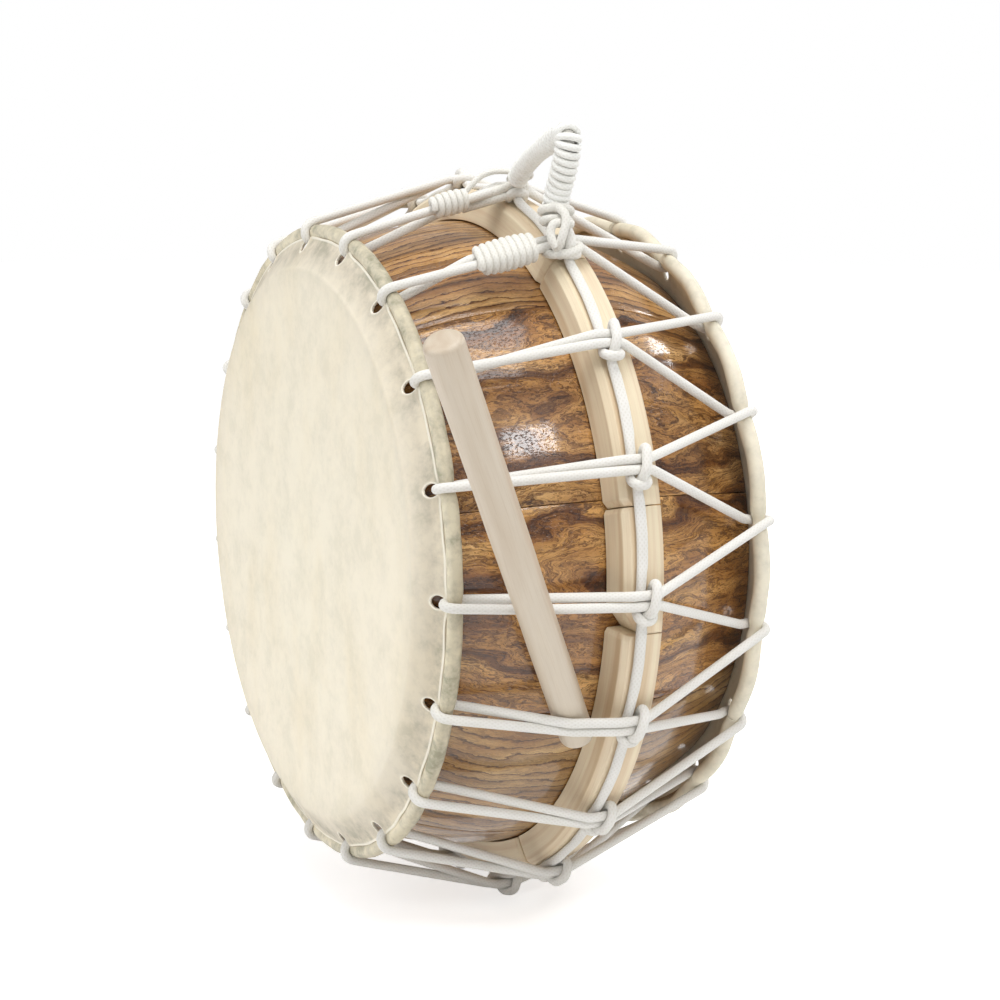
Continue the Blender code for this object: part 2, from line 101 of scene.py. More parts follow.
def scaled(tree, vector, factors):
    made = add(tree, "ShaderNodeVectorMath", operation="MULTIPLY")
    plug(tree, made.inputs[0], vector)
    plug(tree, made.inputs[1], factors)
    return made.outputs[0]


def noise(tree, vector, scale, detail=3, roughness=0.55, stretch=None, distortion=0.0):
    if stretch:
        vector = scaled(tree, vector, stretch)
    made = add(tree, "ShaderNodeTexNoise", {
        "Vector": vector, "Scale": scale, "Detail": detail, "Roughness": roughness,
        "Distortion": distortion})
    return made.outputs["Fac"]


def spread(tree, value, low, high, start=0.0, end=1.0):
    made = add(tree, "ShaderNodeMapRange", {
        "Value": value, "From Min": low, "From Max": high, "To Min": start, "To Max": end})
    return made.outputs[0]


def swing(tree, value, start, end):
    # noise stays mostly between these two
    return spread(tree, value, 0.3, 0.7, start, end)


def mix(tree, factor, first, second, blend="MULTIPLY"):
    made = add(tree, "ShaderNodeMix", data_type="RGBA", blend_type=blend)
    plug(tree, made.inputs[0], factor)
    plug(tree, made.inputs[6], first)
    plug(tree, made.inputs[7], second)
    return made.outputs[2]


def ramp(tree, factor, stops):
    made = add(tree, "ShaderNodeValToRGB", {"Fac": factor})
    elements = made.color_ramp.elements
    while len(elements) < len(stops):
        elements.new(0.5)
    for element, (place, colour) in zip(elements, stops):
        element.position = place
        element.color = (*colour, 1)
    return made.outputs["Color"]


def attribute(tree, name, output="Vector"):
    return add(tree, "ShaderNodeAttribute", attribute_name=name).outputs[output]


def newMaterial(name, values):
    material = bpy.data.materials.new(name)
    material.use_nodes = True
    tree = material.node_tree
    shader = tree.nodes["Principled BSDF"]
    for key, value in values.items():
        shader.inputs[key].default_value = value
    return material, tree, shader


def bump(tree, shader, height, depth):
    made = add(tree, "ShaderNodeBump", {"Height": height, "Distance": depth, "Strength": 1.0})
    plug(tree, shader.inputs["Normal"], made.outputs[0])
    return made.outputs[0]


def srgb(red, green, blue):
    def linear(value):
        value /= 255
        return value / 12.92 if value <= 0.04045 else ((value + 0.055) / 1.055) ** 2.4
    return (linear(red), linear(green), linear(blue))


def staveWoodMaterial():
    # figure counts growth rings over the board, marks is how strong rings, bands and flecks are
    material, tree, shader = newMaterial("lacqueredStaveWood", {
        "Coat Weight": 0.75, "Coat Roughness": 0.07, "Specular IOR Level": 0.3})
    board = attribute(tree, "board")
    marks = add(tree, "ShaderNodeSeparateXYZ", {0: attribute(tree, "marks")})
    broad = swing(tree, noise(tree, board, 1, 2, 0.5, (12, 22, 1)), -2.2, 2.2)
    broad = times(tree, broad, marks.outputs[2])
    medium = swing(tree, noise(tree, board, 1, 3, 0.6, (60, 130, 1)), -0.25, 0.25)
    fine = swing(tree, noise(tree, board, 1, 2, 0.6, (300, 700, 1)), -0.06, 0.06)
    bent = plus(tree, broad, plus(tree, medium, fine))
    ring = plus(tree, attribute(tree, "figure", "Fac"), bent)
    rings = ramp(tree, calc(tree, "FRACT", ring), [
        (0.0, (1, 1, 1)), (0.55, (0.97, 0.95, 0.92)), (0.8, (0.7, 0.61, 0.52)),
        (0.89, (0.2, 0.13, 0.08)), (0.95, (0.18, 0.11, 0.07)), (1.0, (1, 1, 1))])
    bands = ramp(tree, calc(tree, "FRACT", times(tree, ring, 0.23)), [
        (0.0, (1, 1, 1)), (0.52, (0.93, 0.9, 0.86)), (0.66, (0.52, 0.41, 0.32)),
        (0.76, (0.2, 0.13, 0.09)), (0.83, (0.3, 0.21, 0.15)), (0.88, (0.92, 0.89, 0.85)),
        (1.0, (1, 1, 1))])
    warm = noise(tree, board, 1, 2, 0.5, (14, 40, 1))
    colour = ramp(tree, warm, [(0.32, srgb(156, 112, 62)), (0.5, srgb(190, 148, 90)),
                               (0.68, srgb(220, 184, 128))])
    colour = mix(tree, marks.outputs[0], colour, rings)
    colour = mix(tree, marks.outputs[1], colour, bands)
    # the flecks follow the rings
    apart = add(tree, "ShaderNodeSeparateXYZ", {0: scaled(tree, board, (42, 110, 1))})
    follow = add(tree, "ShaderNodeCombineXYZ", {
        "X": apart.outputs[0], "Y": apart.outputs[1], "Z": times(tree, ring, 4.4)})
    wave = noise(tree, follow.outputs[0], 1, 2.5, 0.5, distortion=0.7)
    flecks = ramp(tree, wave, [
        (0.3, (0.42, 0.32, 0.24)), (0.37, (1.06, 1.03, 0.99)), (0.44, (0.84, 0.79, 0.73)),
        (0.475, (0.2, 0.13, 0.09)), (0.5, (0.26, 0.18, 0.12)), (0.56, (1.06, 1.03, 0.99)),
        (0.62, (1.22, 1.19, 1.15)), (0.66, (0.42, 0.34, 0.27)), (0.7, (1.18, 1.15, 1.1))])
    colour = mix(tree, marks.outputs[2], colour, flecks)
    fibre = noise(tree, board, 1, 4, 0.7, (36, 1500, 1))
    fibres = ramp(tree, fibre, [(0.3, (0.7, 0.64, 0.58)), (0.55, (1, 1, 1)), (0.8, (1.06, 1.05, 1.03))])
    colour = mix(tree, 0.4, colour, fibres)
    colour = mix(tree, 1.0, colour, attribute(tree, "cast", "Color"))
    plug(tree, shader.inputs["Base Color"], colour)
    pores = noise(tree, board, 1, 2, 0.6, (430, 700, 1))
    plug(tree, shader.inputs["Roughness"], swing(tree, wave, 0.42, 0.28))
    pits = ramp(tree, pores, [(0.38, (0, 0, 0)), (0.46, (1, 1, 1))])
    height = plus(tree, times(tree, wave, 0.1), times(tree, fibre, 0.06))
    height = plus(tree, height, times(tree, pits, 0.6))
    uneven = bump(tree, shader, height, 0.0002)
    plug(tree, shader.inputs["Coat Normal"], uneven)
    return material


def paleWoodMaterial(name, light, middle, dark, ringScale, roughness):
    # grain is the piece's own place in metres, x along the grain
    material, tree, shader = newMaterial(name, {})
    grain = attribute(tree, "grain")
    broad = noise(tree, grain, 1, 2, 0.5, (9, 60, 60))
    ring = noise(tree, grain, 1, 2, 0.5, (3, ringScale, ringScale), 0.6)
    fibre = noise(tree, grain, 1, 4, 0.65, (30, 1700, 1700))
    colour = ramp(tree, ring, [(0.3, dark), (0.46, middle), (0.6, light), (0.78, middle)])
    cast = ramp(tree, broad, [(0.3, (0.93, 0.9, 0.87)), (0.6, (1, 1, 1)), (0.8, (1.03, 1.02, 0.99))])
    colour = mix(tree, 0.9, colour, cast)
    fibres = ramp(tree, fibre, [(0.28, (0.83, 0.78, 0.72)), (0.5, (1, 1, 1))])
    colour = mix(tree, 0.5, colour, fibres)
    plug(tree, shader.inputs["Base Color"], colour)
    plug(tree, shader.inputs["Roughness"], swing(tree, fibre, roughness + 0.08, roughness - 0.06))
    bump(tree, shader, plus(tree, times(tree, fibre, 0.6), ring), 0.00018)
    return material


def hideMaterial(name, rim, hem, mottling):
    # zone runs from 0 on the disc over 0.3 at the bend and 0.6 at the lip to 1 at the hem's end
    material, tree, shader = newMaterial(name, {
        "Subsurface Weight": 0.05, "Subsurface Radius": (0.004, 0.003, 0.002)})
    place = add(tree, "ShaderNodeTexCoord").outputs["Object"]
    zone = attribute(tree, "zone", "Fac")
    edge = attribute(tree, "edge", "Fac")
    crease = attribute(tree, "crease", "Fac")
    cloud = noise(tree, place, 1, 4, 0.6, (9, 14, 6))
    blotch = noise(tree, place, 38, 4, 0.65)
    grainy = noise(tree, place, 420, 3, 0.6)
    moved = plus(tree, zone, swing(tree, blotch, -0.02, 0.02))
    # from the bend to the lip the hide is darker than the disc, partly its own greyer tone and partly
    # painted shade
    base = ramp(tree, moved, [
        (0.0, srgb(239, 231, 210)), (0.25, srgb(239, 230, 209)), (0.33, srgb(218, 209, 190)),
        (0.5, srgb(200, 191, 173)), (0.6, srgb(212, 203, 184)), (0.66, rim), (0.74, rim),
        (0.8, hem), (1.0, hem)])
    clouds = ramp(tree, cloud, [(0.3, (0.95, 0.92, 0.85)), (0.5, (1, 1, 1)), (0.72, (1.0, 1.01, 1.03))])
    colour = mix(tree, 0.7, base, clouds)
    spots = plus(tree, times(tree, blotch, 0.6),
                 times(tree, noise(tree, place, 120, 4, 0.7), 0.4))
    mottle = ramp(tree, spots, [(0.4, (0.58, 0.6, 0.55)), (0.47, (0.88, 0.88, 0.86)),
                                (0.52, (1.04, 1.03, 1.01)), (0.58, (1.2, 1.19, 1.16))])
    strength = spread(tree, zone, 0.25, 0.72, 0.16, mottling)
    colour = mix(tree, strength, colour, mottle)
    # the lip's cut edge: paler hide, brightened further as a painted highlight; the same mask gives the
    # pale rings round the holes
    colour = mix(tree, edge, colour, (*srgb(246, 240, 224), 1), "MIX")
    # painted shadow: a thin dark brown line along the lip's edge
    colour = mix(tree, crease, colour, (*srgb(150, 128, 96), 1), "MIX")
    plug(tree, shader.inputs["Base Color"], colour)
    plug(tree, shader.inputs["Roughness"], swing(tree, blotch, 0.62, 0.5))
    height = plus(tree, times(tree, grainy, 0.25), times(tree, blotch, strength))
    bump(tree, shader, height, 0.0005)
    return material


def ropeMaterial(name, light, shade, strands, pitch):
    # ring is the way round the rope as cosine and sine, along the distance in metres
    material, tree, shader = newMaterial(name, {"Sheen Weight": 0.25, "Sheen Roughness": 0.5})
    ring = add(tree, "ShaderNodeSeparateXYZ", {0: attribute(tree, "ring")})
    turned = calc(tree, "ARCTAN2", ring.outputs[1], ring.outputs[0])
    turned = times(tree, turned, strands / 2)
    along = times(tree, attribute(tree, "along", "Fac"), pi / pitch)
    left = calc(tree, "ABSOLUTE", calc(tree, "SINE", plus(tree, turned, along)))
    right = calc(tree, "ABSOLUTE", calc(tree, "SINE", calc(tree, "SUBTRACT", turned, along)))
    braid = calc(tree, "MAXIMUM", left, right)
    place = add(tree, "ShaderNodeTexCoord").outputs["Object"]
    fuzz = noise(tree, place, 900, 3, 0.7)
    dirt = noise(tree, place, 30, 3, 0.6)
    colour = ramp(tree, braid, [(0.55, shade), (0.86, light)])
    soft = ramp(tree, dirt, [(0.3, (0.95, 0.945, 0.92)), (0.6, (1, 1, 1))])
    colour = mix(tree, 0.8, colour, soft)
    plug(tree, shader.inputs["Base Color"], colour)
    plug(tree, shader.inputs["Roughness"], swing(tree, fuzz, 0.9, 0.78))
    height = plus(tree, braid, times(tree, fuzz, 0.8))
    bump(tree, shader, height, 0.00009)
    return material


def ironMaterial():
    material, tree, shader = newMaterial("hoopIron", {"Metallic": 0.8})
    place = add(tree, "ShaderNodeTexCoord").outputs["Object"]
    rust = noise(tree, place, 160, 4, 0.65)
    plug(tree, shader.inputs["Base Color"], ramp(tree, rust, [
        (0.35, srgb(62, 58, 54)), (0.55, srgb(96, 90, 84)), (0.75, srgb(112, 78, 52))]))
    plug(tree, shader.inputs["Roughness"], swing(tree, rust, 0.45, 0.8))
    bump(tree, shader, rust, 0.0002)
    return material


staveWood = staveWoodMaterial()
wedgeWood = paleWoodMaterial("wedgeWood", srgb(233, 219, 190), srgb(227, 209, 180),
                             srgb(213, 189, 155), 160, 0.5)
stickWood = paleWoodMaterial("stickWood", srgb(206, 194, 176), srgb(200, 186, 166),
                             srgb(192, 172, 150), 70, 0.42)
# the rim colour lies on the roll's front strip and the darker hem colour on its outer side: partly the
# hide's greyer tone, partly painted shade on the side turned from the light
rawHide = {"front_head": hideMaterial("frontHide", srgb(212, 204, 182), srgb(188, 180, 158), 1.0),
           "rear_head": hideMaterial("rearHide", srgb(236, 229, 211), srgb(226, 219, 200), 0.35)}
cottonRope = ropeMaterial("cottonRope", srgb(230, 228, 223), srgb(222, 219, 212), 8, 0.0034)
cottonCord = ropeMaterial("cottonCord", srgb(228, 226, 219), srgb(219, 216, 208), 6, 0.0028)
handleCotton = ropeMaterial("handleCotton", srgb(243, 243, 239), srgb(235, 234, 229), 6, 0.0028)
hoopIron = ironMaterial()
print("materials made")


def placed(name, data):
    made = bpy.data.objects.new(name, data)
    scene.collection.objects.link(made)
    return made


def meshPiece(name, points, faces, material, smooth=True, **attributes):
    mesh = bpy.data.meshes.new(name)
    mesh.from_pydata([tuple(point) for point in points], [], faces)
    for key, values in attributes.items():
        values = np.asarray(values, dtype=np.float32)
        kind, field = ("FLOAT_VECTOR", "vector") if values.ndim == 2 else ("FLOAT", "value")
        mesh.attributes.new(key, kind, "POINT").data.foreach_set(field, values.ravel())
    mesh.polygons.foreach_set("use_smooth", [smooth] * len(mesh.polygons))
    mesh.materials.append(material)
    mesh.update()
    return placed(name, mesh)


def cleaned(piece):
    # no loose or doubled points, and the normals outwards
    shape = bmesh.new()
    shape.from_mesh(piece.data)
    bmesh.ops.delete(shape, geom=[vert for vert in shape.verts if not vert.link_faces], context="VERTS")
    bmesh.ops.remove_doubles(shape, verts=shape.verts, dist=0.00001)
    bmesh.ops.recalc_face_normals(shape, faces=shape.faces)
    shape.to_mesh(piece.data)
    shape.free()


def easeEdges(piece, width, sharpest):
    edge = piece.modifiers.new("easedEdges", "BEVEL")
    edge.width = width
    edge.segments = 2
    edge.limit_method = "ANGLE"
    edge.angle_limit = radians(sharpest)


def finished(piece, body, slot, *nodes):
    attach(piece, body)
    if nodes:
        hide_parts(*nodes)


def baked(holder, name):
    # the geometry tree's result as a plain mesh in a new object
    holder.update_tag()
    evaluated = holder.evaluated_get(bpy.context.evaluated_depsgraph_get())
    mesh = bpy.data.meshes.new_from_object(evaluated)
    mesh.name = name
    piece = placed(name, mesh)
    source = holder.data
    bpy.data.objects.remove(holder)
    (bpy.data.curves if isinstance(source, bpy.types.Curve) else bpy.data.meshes).remove(source)
    return piece


def newTree(name, inputs):
    tree = bpy.data.node_groups.new(name, "GeometryNodeTree")
    tree.interface.new_socket("Geometry", in_out="INPUT", socket_type="NodeSocketGeometry")
    for label, kind in inputs:
        tree.interface.new_socket(label, in_out="INPUT", socket_type="NodeSocket" + kind)
    tree.interface.new_socket("Geometry", in_out="OUTPUT", socket_type="NodeSocketGeometry")
    return tree, tree.nodes.new("NodeGroupInput"), tree.nodes.new("NodeGroupOutput")


def endTree(tree, geometry, material, output):
    real = add(tree, "GeometryNodeRealizeInstances", {"Geometry": geometry})
    painted = add(tree, "GeometryNodeSetMaterial", {"Geometry": real.outputs[0], "Material": material})
    plug(tree, output.inputs[0], painted.outputs[0])


def useTree(holder, tree, values):
    modifier = holder.modifiers.new(tree.name, "NODES")
    modifier.node_group = tree
    for item in tree.interface.items_tree:
        if item.in_out == "INPUT" and item.name in values:
            modifier[item.identifier] = values[item.name]


def store(tree, geometry, name, value, kind="FLOAT"):
    made = add(tree, "GeometryNodeStoreNamedAttribute", {"Geometry": geometry, "Name": name},
               data_type=kind, domain="POINT")
    plug(tree, made.inputs["Value"], value)
    return made.outputs[0]


def makeRopeTree():
    # a tube along a curve that remembers the way round it and the distance along it
    tree, given, output = newTree("ropeTube", [
        ("Radius", "Float"), ("Sides", "Int"), ("Material", "Material")])
    length = add(tree, "GeometryNodeSplineParameter").outputs["Length"]
    path = store(tree, given.outputs["Geometry"], "along", length)
    circle = add(tree, "GeometryNodeCurvePrimitiveCircle", {
        "Resolution": given.outputs["Sides"], "Radius": given.outputs["Radius"]})
    index = add(tree, "GeometryNodeInputIndex").outputs[0]
    turned = times(tree, calc(tree, "DIVIDE", index, given.outputs["Sides"]), 2 * pi)
    way = add(tree, "ShaderNodeCombineXYZ", {
        "X": calc(tree, "COSINE", turned), "Y": calc(tree, "SINE", turned)})
    outline = store(tree, circle.outputs[0], "ring", way.outputs[0], "FLOAT_VECTOR")
    tube = add(tree, "GeometryNodeCurveToMesh", {
        "Curve": path, "Profile Curve": outline, "Fill Caps": True})
    smooth = add(tree, "GeometryNodeSetShadeSmooth", {"Geometry": tube.outputs[0]})
    endTree(tree, smooth.outputs[0], given.outputs["Material"], output)
    return tree


ropeTree = makeRopeTree()


def evenly(points, spacing, closed):
    points = np.asarray([tuple(point) for point in points])
    if closed:
        points = np.vstack([points, points[:1]])
    lengths = np.concatenate([[0], np.cumsum(np.linalg.norm(np.diff(points, axis=0), axis=1))])
    count = max(3, round(lengths[-1] / spacing))
    wanted = np.linspace(0, lengths[-1], count + 1)
    if closed:
        wanted = wanted[:-1]
    return np.stack([np.interp(wanted, lengths, points[:, i]) for i in range(3)], axis=1)


def softened(points, closed, rounds):
    for _ in range(rounds):
        if closed:
            points = (np.roll(points, 1, 0) + 2 * points + np.roll(points, -1, 0)) / 4
        else:
            points[1:-1] = (points[:-2] + 2 * points[1:-1] + points[2:]) / 4
    return points


def ropePath(points, closed, rounds=6, most=0.004, bend=8):
    # smooths the corners, then keeps points close together only where the rope bends
    fine = softened(evenly(points, 0.0009, closed), closed, rounds)
    kept = [fine[0]]
    heading = fine[1] - fine[0]
    heading /= np.linalg.norm(heading)
    for before, point in zip(fine[1:], fine[2:]):
        step = (point - before) / np.linalg.norm(point - before)
        angle = degrees(acos(max(-1, min(1, float(step @ heading)))))
        if angle > bend or np.linalg.norm(before - kept[-1]) > most:
            kept.append(before)
            heading = step
    if not closed:
        kept.append(fine[-1])
    return kept


def ropePiece(name, points, closed, radius, material, sides=14, scales=None):
    curve = bpy.data.curves.new(name, "CURVE")
    curve.dimensions = "3D"
    spline = curve.splines.new("POLY")
    spline.points.add(len(points) - 1)
    spline.use_cyclic_u = closed
    for i, point in enumerate(points):
        spline.points[i].co = (*point, 1)
        spline.points[i].radius = scales[i] if scales is not None else 1
    holder = placed(name + "Path", curve)
    useTree(holder, ropeTree, {"Radius": radius, "Sides": sides, "Material": material})
    return baked(holder, name)


shell = {
    "halfLength": 0.1127, "bellyRadius": 0.2065, "endRadius": 0.1773, "thickness": 0.011,
    "firstSeam": 76.5, "sweep": 36, "seamGap": 0.0003, "across": 24, "along": 56,
}
# each stave's figure: its middle (x, across), rings to a metre along and across,
# strength of rings, bands and flecks, and the board's cast
boards = (
    ((0.042, -0.014), (17, 78), (0.5, 1.0, 0.85), (1.1, 1.04, 0.94)),
    ((-0.3, 0.1), (6, 125), (0.95, 0.45, 0.45), (0.8, 0.79, 0.76)),
    ((-0.06, -0.08), (14, 80), (0.7, 0.6, 0.6), (1.0, 1.0, 0.97)),
    ((0.05, 0.02), (20, 95), (0.6, 0.7, 0.45), (0.9, 0.86, 0.82)),
    ((-0.4, 0.06), (5, 150), (0.85, 0.25, 0.3), (0.94, 0.92, 0.9)),
    ((-0.02, -0.03), (18, 85), (0.4, 0.8, 0.55), (1.0, 0.96, 0.9)),
    ((0.25, -0.07), (7, 110), (0.85, 0.4, 0.3), (0.88, 0.85, 0.82)),
    ((0.02, 0.085), (10, 80), (0.6, 0.35, 0.25), (1.05, 1.03, 1.0)),
    ((0.5, 0.11), (4, 160), (1.0, 0.65, 0.4), (1.04, 1.0, 1.0)),
    ((0.05, 0.012), (24, 105), (0.65, 1.0, 0.9), (0.92, 0.86, 0.79)),
)


def shellRadius(x):
    return shell["bellyRadius"] - (shell["bellyRadius"] - shell["endRadius"]) * (
        x / shell["halfLength"]) ** 2


def makeStaveTree():
    # a flat grid is bent to the barrel's form and given the wall's thickness
    tree, given, output = newTree("barrelStave", [
        ("Start", "Float"), ("Sweep", "Float"), ("Half Length", "Float"), ("Belly Radius", "Float"),
        ("End Radius", "Float"), ("Thickness", "Float"), ("Across", "Int"), ("Along", "Int"),
        ("Middle", "Vector"), ("Rings", "Vector"), ("Marks", "Vector"), ("Cast", "Vector"),
        ("Material", "Material")])
    socket = given.outputs
    grid = add(tree, "GeometryNodeMeshGrid", {
        "Size X": 2.0, "Size Y": 1.0, "Vertices X": socket["Along"], "Vertices Y": socket["Across"]})
    flat = add(tree, "ShaderNodeSeparateXYZ", {0: add(tree, "GeometryNodeInputPosition").outputs[0]})
    x = times(tree, flat.outputs[0], socket["Half Length"])
    turned = times(tree, plus(tree, flat.outputs[1], 0.5), socket["Sweep"])
    angle = plus(tree, turned, socket["Start"])
    fall = calc(tree, "SUBTRACT", socket["Belly Radius"], socket["End Radius"])
    fall = times(tree, fall, times(tree, flat.outputs[0], flat.outputs[0]))
    radius = calc(tree, "SUBTRACT", socket["Belly Radius"], fall)
    side = times(tree, times(tree, flat.outputs[1], socket["Sweep"]),
                socket["Belly Radius"])
    board = add(tree, "ShaderNodeCombineXYZ", {"X": x, "Y": side, "Z": socket["Start"]}).outputs[0]
    offset = add(tree, "ShaderNodeVectorMath", {0: board, 1: socket["Middle"]}, operation="SUBTRACT")
    reach = add(tree, "ShaderNodeVectorMath", {
        0: scaled(tree, offset.outputs[0], socket["Rings"])}, operation="LENGTH")
    bent = add(tree, "ShaderNodeCombineXYZ", {
        "X": plus(tree, x, drumMiddle),
        "Y": times(tree, times(tree, calc(tree, "SINE", angle), radius), -1.0),
        "Z": times(tree, calc(tree, "COSINE", angle), radius)})
    sheet = store(tree, grid.outputs["Mesh"], "figure", reach.outputs["Value"])
    sheet = store(tree, sheet, "board", board, "FLOAT_VECTOR")
    sheet = store(tree, sheet, "marks", socket["Marks"], "FLOAT_VECTOR")
    sheet = store(tree, sheet, "cast", socket["Cast"], "FLOAT_VECTOR")
    outside = add(tree, "GeometryNodeSetPosition", {"Geometry": sheet, "Position": bent.outputs[0]})
    wall = add(tree, "GeometryNodeExtrudeMesh", {
        "Mesh": outside.outputs[0], "Offset Scale": socket["Thickness"], "Individual": False}, mode="FACES")
    turnedOver = add(tree, "GeometryNodeFlipFaces", {"Mesh": outside.outputs[0]})
    both = add(tree, "GeometryNodeJoinGeometry")
    for part in (wall.outputs["Mesh"], turnedOver.outputs[0]):
        tree.links.new(part, both.inputs[0])
    closed = add(tree, "GeometryNodeMergeByDistance", {"Geometry": both.outputs[0], "Distance": 0.00001})
    smooth = add(tree, "GeometryNodeSetShadeSmooth", {"Geometry": closed.outputs[0]})
    endTree(tree, smooth.outputs[0], socket["Material"], output)
    return tree


def makeStave(tree, number):
    half = shell["seamGap"] / shell["endRadius"] / 2
    sweep = radians(shell["sweep"])
    middle, rings, marks, cast = boards[number]
    start = radians(shell["firstSeam"]) + number * sweep + half
    name = f"shell_stave_{number + 1:02d}"
    holder = placed(name + "Grid", bpy.data.meshes.new(name + "Grid"))
    useTree(holder, tree, {
        "Start": start, "Sweep": sweep - 2 * half, "Half Length": shell["halfLength"],
        "Belly Radius": shell["bellyRadius"], "End Radius": shell["endRadius"],
        "Thickness": shell["thickness"], "Across": shell["across"] + 1, "Along": shell["along"] + 1,
        "Middle": (*middle, start), "Rings": (*rings, 0.0), "Marks": marks, "Cast": cast,
        "Material": staveWood})
    piece = baked(holder, f"stave{number + 1:02d}")
    easeEdges(piece, 0.0006, 50)
    finished(piece, "drum", "stave_wood", name)


staveTree = makeStaveTree()
for number in range(len(boards)):
    makeStave(staveTree, number)
print("shell of ten staves made")


halfWidth = 0.1147
# hole is its middle's distance inside the lip, edge how far outside the lip a rope turns, bulge
# how far the wire bows out between the ropes, press how deep a rope lies in the roll
rims = {
    "front": {"side": -1, "hoopX": 0.0983, "ringRadius": 0.1999, "hemRadius": 0.0046, "wireRadius": 0.0026,
              "lip": (0.1017, 0.1965), "hole": 0.006, "edge": 0.0024, "bulge": 0.0002,
              "press": 0.0009, "seed": 3},
    "rear": {"side": 1, "hoopX": 0.1042, "ringRadius": 0.2016, "hemRadius": 0.005, "wireRadius": 0.003,
             "lip": (0.1077, 0.197), "hole": 0.006, "edge": 0.001, "bulge": 0.0026,
             "press": 0.0014, "seed": 8},
}
hide = {
    "thickness": 0.0015, "bendRadius": 0.006, "bendCentre": 0.1747, "hemEnd": 245,
    "holeLength": 0.01, "holeWidth": 0.0078, "holeCircle": 0.194, "stepsAtHole": 20, "stepsBetween": 17,
}
lacing = {"pairs": 19, "firstAngle": 15.5, "ropeRadius": 0.0029, "strandOffset": 0.0031, "slack": 0.0001}
pairCount = lacing["pairs"]
ropeRadius = lacing["ropeRadius"]
pairPitch = 2 * pi / pairCount


def pairAngle(index):
    return radians(lacing["firstAngle"]) + index * pairPitch


def hideSlope(rim):
    along = Vector((rim["lip"][0] - (halfWidth - hide["bendRadius"]), rim["lip"][1] - hide["bendCentre"]))
    return atan2(along.y, along.x) - acos(hide["bendRadius"] / along.length)


def flapSlope(rim):
    along = Vector((rim["hoopX"] - rim["lip"][0], rim["ringRadius"] - rim["lip"][1]))
    return atan2(along.y, along.x) - pi + acos(rim["hemRadius"] / along.length)


def fromLip(rim, distance, height=0.0):
    # a point this far from the lip towards the shell, and this high over the hide
    slope = hideSlope(rim)
    return (rim["lip"][0] + distance * sin(slope) + height * cos(slope),
            rim["lip"][1] - distance * cos(slope) + height * sin(slope))


# a low ridge along the lip: distance from the lip, height, zone, paleness (partly a painted highlight), lip
# shadow (a painted shadow line)
lipRows = (
    (0.0022, 0.0, 0.59, 0.0, 0.0), (0.0016, 0.0004, 0.6, 0.7, 0.0), (0.001, 0.0006, 0.6, 1.0, 0.0),
    (0.0004, 0.0006, 0.61, 1.0, 0.0), (0.0001, 0.0002, 0.62, 0.3, 0.3), (0.0, 0.0, 0.63, 0.0, 0.8),
)


def headProfile(rim):
    # x, radius, direction of the outside, zone for the colour, distance from the lip, paleness (partly a
    # painted highlight), lip shadow (a painted shadow line)
    slope = hideSlope(rim)
    bendCentre = (halfWidth - hide["bendRadius"], hide["bendCentre"])
    rows = []
    for radius in (0.0, 0.02, 0.05, 0.08, 0.11, 0.135, 0.154, 0.167):
        rows.append((halfWidth, radius, 0, 0.27 * radius / hide["bendCentre"], 1, 0, 0))
    for i in range(5):
        angle = slope * i / 4
        rows.append((*onCircle(bendCentre, hide["bendRadius"], angle), angle, 0.28 + 0.03 * i / 4, 1, 0, 0))
    tangent = Vector(onCircle(bendCentre, hide["bendRadius"], slope))
    length = (tangent - Vector(rim["lip"])).length
    holeStart = rim["hole"] + 0.62 * hide["holeLength"]
    for i in range(1, 5):
        away = length + (holeStart - length) * i / 5
        rows.append((*fromLip(rim, away), slope, 0.31 + 0.14 * i / 5, away, 0, 0))
    for i in range(14):
        away = holeStart + (0.0028 - holeStart) * i / 13
        rows.append((*fromLip(rim, away), slope, 0.45 + 0.13 * i / 13, away, 0, 0))
    for away, height, zone, pale, crease in lipRows:
        rows.append((*fromLip(rim, away, height), slope, zone, away, pale, crease))
    hoop = (rim["hoopX"], rim["ringRadius"])
    first = flapSlope(rim)
    last = radians(hide["hemEnd"])
    start = Vector(rows[-1][:2])
    tangent = Vector(onCircle(hoop, rim["hemRadius"], first))
    # the painted shadow line along the lip runs out over the first rows of the flap
    for i in range(1, 4):
        place = start.lerp(tangent, i / 4)
        rows.append((*place, first, 0.64 + 0.06 * i / 4, -1, 0, 0.4 - 0.2 * i))
    steps = 20
    for i in range(steps + 1):
        angle = first + (last - first) * i / steps
        rows.append((*onCircle(hoop, rim["hemRadius"], angle), angle, 0.7 + 0.3 * i / steps, -1, 0, 0))
    return rows


def waves(angle, source, low, high, count):
    # a smooth wobble that closes after one turn
    total = 0
    for _ in range(count):
        total += sin(angle * source.randint(low, high) + source.uniform(0, 2 * pi))
    return total / sqrt(count)


def bowed(rim, turned):
    # how far the wire stands out at this angle from the nearest rope
    return rim["bulge"] * (1 - cos(2 * pi * turned / pairPitch)) / 2


def makeHoop(name, rim, firstHole):
    points = []
    count = pairCount * 12
    for i in range(count):
        turned = 2 * pi * i / count
        points.append(drumPoint(rim["side"] * rim["hoopX"], rim["ringRadius"] + bowed(rim, turned),
                                firstHole + turned))
    piece = ropePiece(name.replace("_hoop", "Hoop"), points, True, rim["wireRadius"], hoopIron, 12)
    finished(piece, "drum", "hoop", name)


def columns():
    # steps round the rim, close together at the holes
    radius, half = hide["holeCircle"], 0.007
    near = [-half + 2 * half * i / hide["stepsAtHole"] for i in range(hide["stepsAtHole"])]
    gap = pairPitch * radius - 2 * half
    between = [half + gap * i / hide["stepsBetween"] for i in range(hide["stepsBetween"])]
    nearest = [side / radius for side in near] + [side / radius - pairPitch for side in between]
    nearest[len(near)] = half / radius
    return [(pair * pairPitch + side / radius, turn)
            for pair in range(pairCount) for side, turn in zip(near + between, nearest)]


